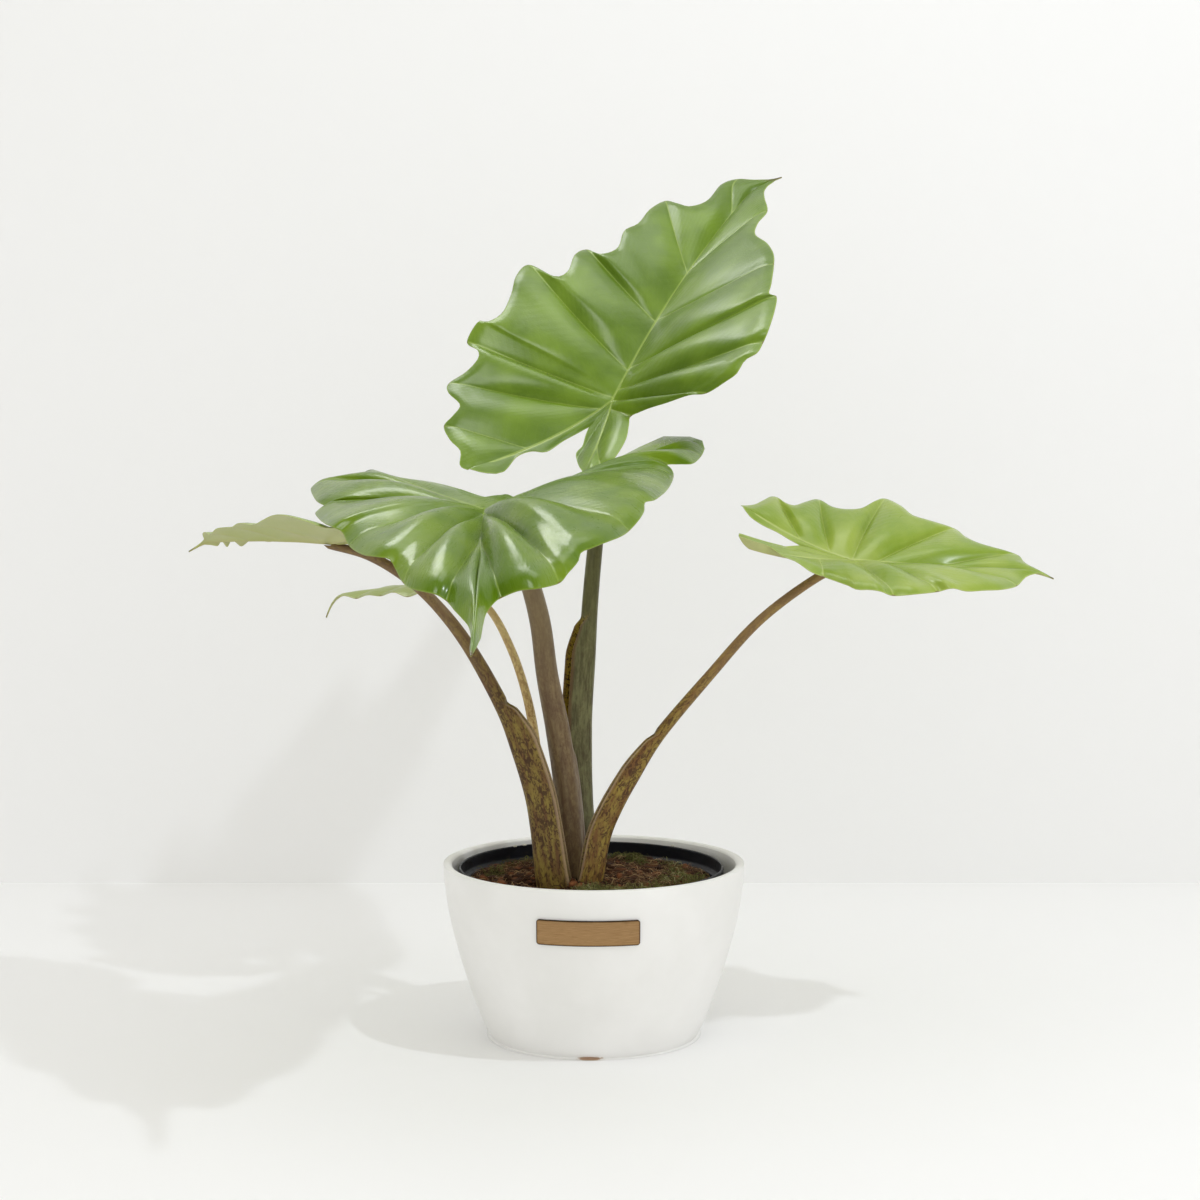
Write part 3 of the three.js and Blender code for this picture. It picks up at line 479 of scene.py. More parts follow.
def ball_shape(detail):
    """Points and faces of a ball of radius 1."""
    mesh = bpy.data.meshes.new("ball")
    made = bmesh.new()
    bmesh.ops.create_icosphere(made, subdivisions=detail, radius=1)
    made.to_mesh(mesh)
    made.free()
    points = np.array([vertex.co for vertex in mesh.vertices])
    faces = [list(face.vertices) for face in mesh.polygons]
    bpy.data.meshes.remove(mesh)
    return points, faces


ball_points, ball_faces = ball_shape(2)
crumb_points = []
crumb_faces = []
crumb_tones = []
for k in range(crumb_count + len(rim_crumbs)):
    on_rim = k >= crumb_count
    x, y = np.array(rim_crumbs[k - crumb_count]) * mm if on_rim else free_spot()
    size = crumb_sizes[0] + (crumb_sizes[1] - crumb_sizes[0]) * scatter.random() ** 2.5
    if on_rim:
        size = rim_crumb_size
    shape = Vector((scatter.uniform(0.7, 1.7), scatter.uniform(0.6, 1.1), scatter.uniform(0.35, 0.8))) * size
    turn = scatter.uniform(0, 2 * math.pi)
    seed = Vector((scatter.uniform(0, 50), scatter.uniform(0, 50), scatter.uniform(0, 50)))
    first = len(crumb_points)
    ground = rim_top if on_rim else soil_height(x, y)
    for point in ball_points:
        rough = 1 + 0.55 * noise.noise(Vector(point) * 1.7 + seed)
        px, py, pz = point * rough * shape
        crumb_points.append((x + px * math.cos(turn) - py * math.sin(turn),
                             y + px * math.sin(turn) + py * math.cos(turn), ground + pz + 0.2 * shape[2]))
    crumb_faces += [[corner + first for corner in face] for face in ball_faces]
    crumb_tones += [white_tone if on_rim else scatter.random()] * len(ball_points)

bark, shader = new_finish("bark_crumbs", 0.85, Specular_IOR_Level=0.1)
place = own_place(shader)
tone = read(shader, "tone")
dark_bark = mixed(shader, grain(shader, place, 500), (0.02, 0.009, 0.005, 1), (0.08, 0.034, 0.015, 1))
red_bark = mixed(shader, grain(shader, place, 700), (0.10, 0.034, 0.013, 1), (0.23, 0.09, 0.035, 1))
crumb_colour = mixed(shader, between(shader, tone, 0.45, 0.8), dark_bark, red_bark)
join(shader, "Base Color", mixed(shader, between(shader, tone, 1.1, 1.5), crumb_colour, (0.62, 0.6, 0.52, 1)))
join(shader, "Normal", relief(shader, grain(shader, place, 1800, detail=4), 0.0005))
crumbs = add_piece("bark_crumbs", crumb_points, crumb_faces, bark)
mark(crumbs, "tone", crumb_tones)


# Coir fibres and moss
# Loose threads of coir lie over the soil, and tufts of olive moss have grown at the wall of the liner.
# Each strand starts in the soil, rises a little and comes down on it again.

fibre_count = 2300
tuft_count = 60
moss_strands = 26
strand_sides = 4
strand_steps = 7
strand_sink = 0.25 * mm
strand_reach = 0.985


def add_strand(store, start, heading, length, radius, arch, curl, tone):
    """One thin strand that arches from the soil and thins to its end."""
    points, faces, tones = store
    first = len(points)
    x, y = start
    step = length / strand_steps
    for k in range(strand_steps + 1):
        share = k / strand_steps
        lift = arch * math.sin(math.pi * min(share * 0.92 + 0.04, 1))
        z = soil_height(x, y) + lift - strand_sink * (k == 0)
        thick = radius * (1 - 0.65 * share)
        for side in range(strand_sides):
            angle = 2 * math.pi * side / strand_sides
            points.append((x - math.sin(heading) * thick * math.cos(angle),
                           y + math.cos(heading) * thick * math.cos(angle), z + thick * math.sin(angle)))
        tones.append(tone)
        heading += curl / strand_steps
        x += step * math.cos(heading)
        y += step * math.sin(heading)
        reach = math.hypot(x - liner_middle, y)
        if reach > soil_radius * strand_reach:
            x = liner_middle + (x - liner_middle) * soil_radius * strand_reach / reach
            y = y * soil_radius * strand_reach / reach
    for k in range(strand_steps):
        for side in range(strand_sides):
            a = first + k * strand_sides + side
            b = first + k * strand_sides + (side + 1) % strand_sides
            faces.append([a, b, b + strand_sides, a + strand_sides])
    faces.append([first + side for side in range(strand_sides)][::-1])
    faces.append([first + strand_steps * strand_sides + side for side in range(strand_sides)])


coir = ([], [], [])
for _ in range(fibre_count):
    start = free_spot()
    add_strand(coir, start, scatter.uniform(0, 2 * math.pi), scatter.uniform(4, 17) * mm,
               scatter.uniform(0.1, 0.22) * mm, scatter.uniform(0.3, 2.4) * mm, scatter.gauss(0, 1.6),
               scatter.random())

coir_fibre, shader = new_finish("coir_fibre", 0.7, Specular_IOR_Level=0.2)
tone = read(shader, "tone")
dark_fibre = mixed(shader, between(shader, tone, 0.0, 0.5), (0.035, 0.016, 0.008, 1), (0.15, 0.065, 0.025, 1))
join(shader, "Base Color", mixed(shader, between(shader, tone, 0.55, 1.0), dark_fibre, (0.46, 0.31, 0.15, 1)))
coir_threads = add_piece("coir_threads", coir[0], coir[1], coir_fibre)
mark(coir_threads, "tone", np.repeat(coir[2], strand_sides))

moss_store = ([], [], [])
moss_places = [(25, 150), (-2, 70), (-80, -20)]
for tuft in range(tuft_count):
    middle, spread = moss_places[tuft % len(moss_places)]
    angle = math.radians(middle + scatter.uniform(-spread, spread))
    radius = soil_radius * scatter.uniform(0.66, 0.96)
    x = liner_middle + radius * math.cos(angle)
    y = radius * math.sin(angle)
    tuft_tone = scatter.random()
    for _ in range(moss_strands):
        start = (x + scatter.gauss(0, 2.6) * mm, y + scatter.gauss(0, 2.6) * mm)
        add_strand(moss_store, start, scatter.uniform(0, 2 * math.pi), scatter.uniform(3, 9) * mm,
                   scatter.uniform(0.12, 0.26) * mm, scatter.uniform(1.0, 4.5) * mm, scatter.gauss(0, 1.5),
                   0.6 * tuft_tone + 0.4 * scatter.random())

moss_green, shader = new_finish("olive_moss", 0.75, Specular_IOR_Level=0.1)
tone = read(shader, "tone")
olive = mixed(shader, between(shader, tone, 0.1, 0.7), (0.055, 0.05, 0.014, 1), (0.17, 0.17, 0.05, 1))
join(shader, "Base Color", mixed(shader, between(shader, tone, 0.75, 1.0), olive, (0.42, 0.40, 0.2, 1)))
moss = add_piece("moss_tufts", moss_store[0], moss_store[1], moss_green)
mark(moss, "tone", np.repeat(moss_store[2], strand_sides))


# Leaf stalks
# Juicy round stalks that rise from the corm, each with a thin-winged sheath that held a younger leaf.
# Their satin skin is mottled in brown on green, and runs into the joint under each blade.

blade_skin = 0.8
rib_depth = 2
leaf_gap = 0.3
sheath_skin = 1.2
sheath_opening = 14
sheath_closing = 8
wing_taper = 26
narrow_wing = 0.35
stalk_foot = 70
stalk_steps = 16
stalk_arrival = 0.22
section_steps = 3
wingtip_corner = 3.5
wingtip_reach = 0.6
inner_corner = 3.4

# Each leaf has the place of its joint with the stalk, the direction of its midrib and its bending angles.
# Margin points run from the tip to the end of the back lobe, and inner ones on round it towards the notch.
# Each is (distance along the midrib, distance out from it, rise); a negative rise marks a main vein's end.
# A vein root above zero is a share of the midrib, and one below zero is a share of the lobe's rib.
# The margin rolls down by a depth over a width, and the tail is where the tip begins to turn, aside and down.
tall_leaf = {
    "joint": (11, 59, 362), "heading": 55, "climb": 48, "roll": -3,
    "length": 216, "droop": 16, "lobe_droop": -50, "fold": (31, 12), "curl": (0, 0),
    "puff": 0.05, "roll_down": (2.5, 10), "tail": (0.9, -14, 0), "notch": (-23, 5, 0),
    "left": [
        (213, 2, 0), (210, 5, 1), (207, 17, -1), (197, 20, 0), (176, 19, 2), (164, 25, 3), (164, 34, 1),
        (166, 43, -3), (151, 46, 0), (135, 46, 1), (124, 50, 2), (109, 47, 2), (99, 53, 3),
        (103, 65, -3), (93, 68, 0), (78, 65, 2), (70, 70, 3), (76, 90, -3), (63, 92, 0), (48, 88, 1),
        (32, 86, 3), (23, 91, 3), (22, 97, 1), (9, 98, -3), (3, 88, 2), (-4, 85, 3), (-17, 88, 1),
        (-29, 94, -2), (-39, 90, 0), (-48, 78, 3), (-58, 78, 1), (-67, 79, -2), (-78, 69, 0),
        (-85, 58, 2), (-95, 52, 0), (-96, 46, 0),
    ],
    "left_inner": [(-92, 36, 0), (-84, 29, 0), (-68, 29, 1), (-60, 24, 2), (-54, 17, 1), (-40, 13, 0)],
    "left_veins": [0.8, 0.51, 0.3, 0.11, 0.01, -0.1, -0.7],
    "right": [
        (212, 2, 0), (206, 5, 0), (185, 19, 1), (168, 30, -1), (148, 36, 2), (132, 44, 3), (121, 58, 1),
        (108, 70, 0), (97, 76, -1), (74, 88, 1), (63, 93, 2), (62, 97, -1), (47, 104, 0), (30, 109, 1),
        (23, 107, -1), (13, 109, 1), (8, 103, 2), (0, 100, 1), (-4, 92, 0), (-9, 79, -1), (-11, 69, 2),
        (-13, 52, 2), (-13, 35, 1), (-14, 21, -1), (-23, 25, 0), (-38, 31, 0), (-56, 33, 0),
        (-64, 29, -1), (-73, 27, 0), (-69, 20, 0),
    ],
    "right_inner": [(-58, 8, 0), (-46, -2, 0), (-38, -2, 0), (-30, -4, 0)],
    "right_veins": [0.52, 0.31, 0.12, 0.04, 0.0, -0.12, -0.7],
    "path": [
        (-3, 12, 92), (-6, 14, 133), (-6, 18, 178), (-4, 23, 213), (-2, 30, 248), (2, 42, 290), (7, 52, 330),
    ],
    "foot": (-6, 5), "foot_radius": 5, "thickness": [6.2, 5.6, 5, 4.9, 4.7, 4.4, 3.8], "end_thickness": 3.5,
    "facing": (-0.85, -0.5, 0.1), "sheath_from": 92, "sheath_to": 240, "wing": 9,
}
front_leaf = {
    "joint": (-58, -82, 306), "heading": -90, "climb": -7, "roll": 14,
    "length": 204, "droop": 18, "lobe_droop": -10, "fold": (1, 13), "curl": (14, 0),
    "puff": 0.08, "roll_down": (6, 15), "tail": (0.4, -6, 0), "notch": (-22, 18, -2),
    "left": [
        (196, 1, 0), (186, 1.4, 0), (175, 1.8, 0), (165, 2.2, 0), (154, 3.4, 0), (145, 7, 0),
        (139, 10, -1), (142, 20, 2), (144, 30, 2), (133, 39, -2), (127, 44, 0), (117, 49, 1),
        (110, 51, 3), (106, 56, 3), (97, 64, 2), (85, 71, 0), (70, 76, -2), (57, 82, 0), (44, 85, 1),
        (33, 86, 3), (22, 92, 2), (-15, 99, 0), (-60, 104, -2), (-67, 103, 1), (-73, 101, 2),
        (-78, 108, 1), (-84, 116, 0), (-105, 122, -1), (-119, 125, 0),
    ],
    "left_inner": [
        (-126, 118, 1), (-122, 108, 2), (-118, 99, 3), (-103, 87, 1), (-82, 71, -1), (-61, 57, -2),
        (-49, 47, -3), (-44, 40, -1), (-39, 33, -1), (-32, 26, -2),
    ],
    "left_veins": [0.35, 0.05, -0.03, -0.35, -0.8],
    "right": [
        (194, 1, 0), (183, 1, 0), (167, 3, 0), (157, 7, 0), (148, 11, 0), (136, 15, -1), (134, 20, 2),
        (130, 26, 2), (121, 33, 0), (108, 38, -2), (91, 43, 0), (86, 46, 3), (82, 53, 3), (68, 61, 0),
        (45, 69, -2), (27, 74, 1), (24, 79, 3), (3, 86, 1), (-40, 95, -2), (-43, 90, 1), (-58, 96, 1),
        (-102, 103, -2), (-103, 96, 0), (-104, 84, 0), (-108, 77, 0), (-121, 74, -2),
    ],
    "right_inner": [
        (-107, 62, -1.5), (-90, 48, 0), (-77, 32, 1), (-56, 17, 2), (-41, 4, 1), (-35, -4, 1),
        (-34, -11, 1),
    ],
    "right_veins": [0.33, 0.06, -0.02, -0.2, -0.5],
    "path": [
        (-12, -5, 92), (-15, -9, 137), (-20, -15, 176), (-26, -24, 210), (-30, -37, 243), (-38, -56, 274),
        (-48, -72, 294),
    ],
    "foot": (-12, -7), "foot_radius": 5.5, "thickness": [7.4, 7.2, 6.9, 6.2, 5.8, 5.2, 4.4],
    "end_thickness": 3.8,
    "facing": (0.15, 0.95, 0.1), "sheath_from": 92, "sheath_to": 168, "wing": 3.2,
}
left_leaf = {
    "joint": (-148, -15, 285), "heading": 138, "climb": 0, "roll": 6,
    "length": 114, "droop": 6, "lobe_droop": -10, "fold": (10, 10), "curl": (0, 8),
    "puff": 0.05, "roll_down": (1.5, 8), "tail": (0.9, 8, 6), "notch": (-15, 0, 0),
    "left": [
        (110, 1, 0), (105, 4, 0), (99, 9, 0), (92, 16, 1), (85, 20, 1), (76, 23, -1), (67, 27, 1),
        (56, 30, 1), (44, 35, -0.1), (33, 40, 1), (22, 44, 0), (11, 47, -1), (0, 51, 1), (-12, 55, 3),
        (-24, 57, 3), (-36, 51, 1), (-44, 44, -1), (-53, 32, 1), (-58, 22, 0),
    ],
    "left_inner": [(-49, 14, 1), (-36, 12, 1), (-24, 7, 0)],
    "left_veins": [0.6, 0.34, 0.06, -0.55],
    "right": [
        (109, 1, 0), (104, 5, -3), (102, 7, 0), (100, 9, -4), (97, 11, 0), (94, 15, -4), (87, 18, 0),
        (77, 23, -2), (66, 29, 2), (55, 36, 0), (47, 42, -3), (34, 43, 2), (22, 47, 1), (16, 54, -3),
        (3, 51, 2), (-9, 54, -2), (-20, 50, 2), (-33, 48, -2), (-46, 38, 1), (-55, 27, -1), (-57, 19, 0),
    ],
    "right_inner": [(-47, 12, 1), (-34, 10, 1), (-23, 6, 0)],
    "right_veins": [0.88, 0.83, 0.76, 0.6, 0.34, 0.1, -0.1, -0.4, -0.8],
    "path": [
        (-25.5, -27, 92), (-30, -27, 123), (-34, -26, 144), (-42, -25, 169), (-51, -24, 192),
        (-70, -22, 226), (-88, -19, 249), (-106, -17, 265), (-127, -16, 277),
    ],
    "foot": (-20, -20), "foot_radius": 6.5, "thickness": [6.8, 5.6, 5.2, 4.7, 4.3, 3.7, 3.3, 3, 2.7],
    "end_thickness": 2.3,
    "facing": (0.98, -0.1, 0.2), "sheath_from": 92, "sheath_to": 196, "wing": 8.5,
}
small_leaf = {
    "joint": (-77, 55, 256), "heading": 172, "climb": -3, "roll": 0,
    "length": 86, "droop": 8, "lobe_droop": 4, "fold": (-2, -5), "curl": (2, 2),
    "puff": 0.04, "roll_down": (1, 6), "tail": (0.84, 0, 12), "notch": (-12, 0, 0),
    "left": [
        (81, 2, 0), (75, 6, 0), (69, 10, 0), (62, 14, -2), (54, 19, 0), (45, 23, -1), (36, 28, 1),
        (27, 32, -2), (15, 34, 1), (3, 36, -2), (-11, 34, 1), (-24, 32, -1), (-35, 25, 0), (-40, 16, 0),
    ],
    "left_inner": [(-33, 10, 1), (-21, 6, 0)],
    "left_veins": [0.6, 0.38, 0.14, -0.05, -0.6],
    "right": [
        (81, 1, 0), (74, 4, 0), (67, 9, 0), (60, 13, -1), (52, 18, 1), (44, 24, -1), (33, 28, 1),
        (22, 33, -1), (9, 34, 1), (-4, 36, -1), (-15, 34, 1), (-28, 31, -1), (-37, 22, 0), (-40, 14, 0),
    ],
    "right_inner": [(-32, 9, 1), (-20, 5, 0)],
    "right_veins": [0.6, 0.36, 0.12, -0.1, -0.6],
    "path": [
        (-27, 4, 92), (-30, 10, 134), (-35, 18, 174), (-40, 25, 196), (-48, 34, 218), (-60, 45, 239),
    ],
    "foot": (-21, -1), "foot_radius": 2.6, "thickness": [3.2, 3.1, 2.8, 2.5, 2.4, 2.2], "end_thickness": 1.9,
    "facing": (0.95, -0.2, 0.2), "sheath_from": 92, "sheath_to": 130, "wing": 1.6,
}
right_leaf = {
    "joint": (144, -15, 274), "heading": -3, "climb": -4, "roll": 16,
    "length": 112.9, "droop": -2, "lobe_droop": -36, "fold": (14, 10), "curl": (0, 5),
    "puff": 0.06, "roll_down": (3, 9), "tail": (0.85, -8, 1), "notch": (-29, 7, 1),
    "left": [
        (110, 2, 0), (102, 9, 0), (98, 13, 0), (96, 20, -1), (91, 22, 0), (83, 24, 1), (73, 27, 2),
        (66, 34, 1), (62, 45, -2), (56, 46, 0), (46, 49, 1), (36, 52, 2), (30, 62, 1), (22, 75, -3),
        (16, 68, 0), (7, 56, 2), (-2, 52, 3), (-11, 56, 1), (-20, 66, -2), (-28, 56, 1), (-35, 48, 2),
        (-42, 50, 1), (-48, 57, -2), (-54, 46, 0), (-60, 36, 0), (-67, 29, 0),
    ],
    "left_inner": [(-61, 21, 0), (-53, 17, 0), (-43, 13, 1), (-35, 9, 1)],
    "left_veins": [0.45, 0.13, 0.01, -0.2, -0.5],
    "right": [
        (110, 1, 0), (105, 2, 1), (97, 9, 0), (91, 25, -1), (82, 39, 0), (72, 43, 0), (62, 47, 0),
        (54, 50, 2), (46, 48, -1), (34, 59, 0), (22, 58, -2), (15, 62, 1), (9, 60, 1), (2, 58, 0),
        (-3, 51, 0), (-9, 45, 0), (-16, 38, -0.2), (-24, 36, 1), (-32, 30, 2), (-40, 31, 3),
        (-46, 28, 4), (-51, 28, 5), (-60, 34, 6), (-69, 36, 6),
    ],
    "right_inner": [(-67, 28, 5), (-50, 10, 3), (-38, 0, 2)],
    "right_veins": [0.45, 0.14, 0.02, -0.3],
    "path": [
        (-0.8, -27, 92), (4, -26, 117), (11, -25, 134), (22, -23, 153), (37, -21, 176), (64, -19, 208),
        (93, -17, 240), (125, -16, 264),
    ],
    "foot": (-6, -19), "foot_radius": 5.5, "thickness": [5.8, 5.2, 4.7, 4.1, 3.4, 2.9, 2.6, 2.5],
    "end_thickness": 2.3,
    "facing": (-0.8, -0.1, 0.6), "sheath_from": 92, "sheath_to": 178, "wing": 5,
}


def unit(vector):
    return vector / np.linalg.norm(vector)


def leaf_axes(leaf):
    """Directions along the midrib, across the blade to its left, and up from it."""
    turn, climb, roll = (math.radians(leaf[name]) for name in ("heading", "climb", "roll"))
    along = np.array([math.cos(climb) * math.cos(turn), math.cos(climb) * math.sin(turn), math.sin(climb)])
    level = np.array([-math.sin(turn), math.cos(turn), 0])
    across = level * math.cos(roll) + np.cross(along, level) * math.sin(roll)
    return along, across, np.cross(along, across)


def soft_step(value, low, high):
    share = np.clip((value - low) / (high - low), 0, 1)
    return share * share * (3 - 2 * share)


def stalk_section(radius, wing, opening):
    """Points round a stalk: round where opening is 0, a channel with two wings where it is 1."""
    skin = min(sheath_skin, radius * 0.5)
    shoulder = radius * 0.35 + wing * 0.5
    crest = radius * 0.55 + wing
    half = [
        (-0.1 * radius, 0), (shoulder * 0.5, 0.62 * radius), (shoulder, 1.08 * radius - skin),
        (crest, 0.9 * radius - skin), (crest, 0.9 * radius), (shoulder, 1.08 * radius), (0, radius),
        (-0.5 * radius, 0.87 * radius), (-0.87 * radius, 0.5 * radius), (-radius, 0),
    ]
    closed = np.array(half + [(f, -l) for f, l in half[-2:0:-1]])
    count = len(closed)
    fine = []
    for k in range(count):
        near = [closed[(k + shift) % count] for shift in (-1, 0, 1, 2)]
        fine += [smooth(*near, step / section_steps) for step in range(section_steps)]
    fine = np.array(fine)
    angles = 2 * math.pi * np.arange(len(fine)) / len(fine)
    circle = np.column_stack([radius * np.cos(angles), radius * np.sin(angles)])
    from_middle = np.array([min(k / section_steps, count - k / section_steps) for k in range(len(fine))])
    wingtip = (np.abs(from_middle - wingtip_corner) < wingtip_reach).astype(float)
    inside = (from_middle < inner_corner).astype(float)
    return circle + (fine - circle) * opening, wingtip * opening, inside * opening


def add_stalk(name, leaf, material, slot):
    """One stalk, from its foot on the corm to the underside of its blade."""
    _, _, up = leaf_axes(leaf)
    end = np.array(leaf["joint"]) - up * (blade_skin / 2 + rib_depth + leaf_gap)
    stations = np.array([(*leaf["foot"], stalk_foot), *leaf["path"], end], float)
    radii = [leaf["foot_radius"], *leaf["thickness"], leaf["end_thickness"]]
    line = smooth_line(stations, stalk_steps)
    facing = unit(np.array(leaf["facing"]))
    last = len(line) - 1
    run = np.concatenate([[0], np.cumsum(np.linalg.norm(np.diff(line, axis=0), axis=1))])
    points, tips, insides, grains = [], [], [], []
    for k, centre in enumerate(line):
        tangent = unit(line[min(k + 1, last)] - line[max(k - 1, 0)])
        if k == 0:
            tangent = np.array([0, 0, 1.0])
        arrival = np.clip(k / stalk_steps - (len(stations) - 2), 0, 1) * 2 * stalk_arrival
        tangent = unit(tangent + (up - tangent) * arrival)
        radius = np.interp(k / stalk_steps, np.arange(len(radii)), radii)
        opens = soft_step(centre[2], leaf["sheath_from"] - sheath_opening, leaf["sheath_from"])
        closes = 1 - soft_step(centre[2], leaf["sheath_to"] - sheath_closing, leaf["sheath_to"])
        taper = 1 - soft_step(centre[2], leaf["sheath_to"] - wing_taper, leaf["sheath_to"])
        opening = min(opens, closes)
        wing = leaf["wing"] * opens * (narrow_wing + (1 - narrow_wing) * taper) * (opening > 0)
        across = unit(np.cross(tangent, facing))
        front = unit(np.cross(across, tangent))
        section, tip, inside = stalk_section(radius, wing, opening)
        ring = centre + section[:, :1] * front + section[:, 1:] * across
        if k == 0:
            ring[:, 2] = stalk_foot
        if k == last:
            ring += np.outer((end - ring) @ up / (tangent @ up), tangent)
        points.append(ring)
        tips.append(tip)
        insides.append(inside)
        grains.append(np.column_stack([section, np.full(len(section), run[k])]))
    around = len(points[0])
    rings = np.vstack(points)
    faces = []
    for k in range(last):
        for side in range(around):
            a, b = k * around + side, k * around + (side + 1) % around
            faces.append([a, b, b + around, a + around])
    faces.append(list(range(around))[::-1])
    faces.append([last * around + side for side in range(around)])
    stalk = add_piece(name, rings * mm, faces, material, [slot])
    mark(stalk, "wingtip", np.concatenate(tips))
    mark(stalk, "inside", np.concatenate(insides))
    mark(stalk, "grain", np.vstack(grains) * mm, "FLOAT_VECTOR")
    return stalk


def stalk_finish(name, ground, shade, dark, top, amount, inner, wing):
    """Satin skin: a ground colour clouded by a second one, with dark mottling that fades towards the top."""
    material, shader = new_finish(name, 0.45, Specular_IOR_Level=0.25)
    place = read(shader, "grain", place=True)
    run = add_node(shader, "SeparateXYZ", {0: place}).outputs["Z"]
    streak = grain(shader, stretched(shader, place, (1, 1, 0.16)), 420, detail=4, roughness=0.65)
    colour = mixed(shader, between(shader, streak, 0.36, 0.66), ground, shade)
    drawn_out = stretched(shader, place, (1, 1, 0.5))
    squiggle = grain(shader, drawn_out, 560, detail=4, roughness=0.65, distortion=1.2)
    patch = grain(shader, drawn_out, 75, detail=2)
    dense = plus(shader, squiggle, times(shader, patch, 0.35))
    mottled = times(shader, between(shader, dense, 0.63, 0.76), amount)
    colour = mixed(shader, mottled, colour, dark)
    colour = mixed(shader, between(shader, run, 0.11, 0.2), colour, mixed(shader, 0.55, colour, top))
    lines = grain(shader, stretched(shader, place, (1, 1, 0.8)), 520, detail=2, distortion=2.2)
    marked = mixed(shader, between(shader, lines, 0.52, 0.58), inner, (0.05, 0.02, 0.008, 1))
    colour = mixed(shader, read(shader, "inside"), colour, marked)
    colour = mixed(shader, times(shader, read(shader, "wingtip"), 0.7), colour, wing)
    join(shader, "Base Color", colour)
    join(shader, "Roughness", between(shader, streak, 0.3, 0.7, 0.38, 0.56))
    join(shader, "Normal", relief(shader, streak, 0.00035, strength=0.8))
    return material


# The tall stalk's ground is its own olive green painted paler, to a grey-green: a painted sheen that stands
# in for its gloss.
sheen_lightened_olive_skin = stalk_finish("olive_stalk_with_painted_sheen", (0.16, 0.155, 0.065, 1), (0.075, 0.065, 0.026, 1),
                          (0.06, 0.035, 0.016, 1), (0.085, 0.085, 0.026, 1), 0.35, (0.44, 0.32, 0.05, 1),
                          (0.12, 0.06, 0.025, 1))
brown_skin = stalk_finish("grey_brown_stalk", (0.20, 0.14, 0.066, 1), (0.13, 0.082, 0.042, 1),
                          (0.08, 0.04, 0.024, 1), (0.20, 0.15, 0.075, 1), 0.4, (0.28, 0.22, 0.06, 1),
                          (0.16, 0.10, 0.05, 1))
snake_skin = stalk_finish("mottled_stalk", (0.23, 0.165, 0.034, 1), (0.13, 0.065, 0.022, 1),
                          (0.05, 0.022, 0.009, 1), (0.24, 0.155, 0.085, 1), 0.85, (0.26, 0.21, 0.05, 1),
                          (0.36, 0.25, 0.15, 1))
yellow_skin = stalk_finish("yellow_stalk", (0.60, 0.46, 0.20, 1), (0.48, 0.31, 0.12, 1),
                           (0.20, 0.09, 0.035, 1), (0.62, 0.48, 0.24, 1), 0.6, (0.34, 0.28, 0.08, 1),
                           (0.36, 0.25, 0.15, 1))
tan_skin = stalk_finish("tan_mottled_stalk", (0.27, 0.19, 0.036, 1), (0.17, 0.08, 0.024, 1),
                        (0.06, 0.026, 0.01, 1), (0.30, 0.19, 0.08, 1), 0.85, (0.26, 0.21, 0.05, 1),
                        (0.36, 0.25, 0.15, 1))

add_stalk("tall_stalk_sheathed", tall_leaf, sheen_lightened_olive_skin, "tall_stalk")
add_stalk("front_stalk_thick", front_leaf, brown_skin, "front_stalk")
add_stalk("left_stalk_mottled", left_leaf, snake_skin, "left_stalk")
add_stalk("small_stalk_thin", small_leaf, yellow_skin, "small_stalk")
add_stalk("right_stalk_arched", right_leaf, tan_skin, "right_stalk")


# Leaf blades
# Arrow-shaped blades of living leaf with a waved edge, puffed up between sunken veins and ribbed below.
# A glossy cuticle covers the top, the underside is paler and matt, and each blade grows from its stalk.

side_bow = 0.015
puff_shift = 1.15
lobe_rib_reach = 0.86
closest_inner = 0.02
roll_reach = 0.6
roll_full_width = 25
inner_roll = 0.3
edge_skin = 0.35
edge_taper = 6
rib_width = 1.9
rib_fade = 0.75
groove_depth = 0.4
groove_width = 1.4
side_vein_lean = 0.9
side_vein_spacing = 5.5
far_from_veins = 30
blade_rows = 26
column_spacing = 1.8
fewest_columns = 8
drip_tip_brown = (0.09, 0.06, 0.015, 1)
vein_end_brown = (0.15, 0.09, 0.025, 1)
under_vein_yellow = (0.42, 0.40, 0.14, 1)


def bent_strip(length, first_angle, bend):
    """Distance gone and height gained by a strip of this length that bends evenly."""
    last_angle = first_angle - bend * length
    straight = np.abs(bend * length) < tiny
    safe = np.where(straight, 1.0, bend)
    gone = np.where(straight, length * np.cos(first_angle), (np.sin(first_angle) - np.sin(last_angle)) / safe)
    lift = np.where(straight, length * np.sin(first_angle), (np.cos(last_angle) - np.cos(first_angle)) / safe)
    return gone, lift


def bend_leaf(leaf, x, y, rise):
    """Where points of the flat leaf lie when its midrib, halves, lobes and drip tip are bent."""
    along, across, up = leaf_axes(leaf)
    length = leaf["length"]
    ahead = np.where(x >= 0, 1.0, -1.0)
    side = np.where(y >= 0, 1.0, -1.0)
    bend = np.radians(np.where(x >= 0, leaf["droop"], leaf["lobe_droop"])) / length
    gone, drop = bent_strip(np.abs(x), 0.0, bend)
    turn = -ahead * bend * np.abs(x)
    here_along = np.cos(turn)[:, None] * along + np.sin(turn)[:, None] * up
    here_up = np.cross(here_along, across)
    fold = np.radians(np.where(y >= 0, *leaf["fold"]))
    curl = np.radians(np.where(y >= 0, *leaf["curl"])) / (length / 2)
    out, lift = bent_strip(np.abs(y), fold, curl)
    slope = fold - curl * np.abs(y)
    tail_from, tail_aside, tail_drop = leaf["tail"]
    tail = np.maximum(0, (x / length - tail_from) / (1 - tail_from)) ** 2
    return (np.array(leaf["joint"]) + (ahead * gone)[:, None] * along + drop[:, None] * up
            + (tail_aside * tail + side * (out - rise * np.sin(slope)))[:, None] * across
            + (lift + rise * np.cos(slope) - tail_drop * tail)[:, None] * here_up)


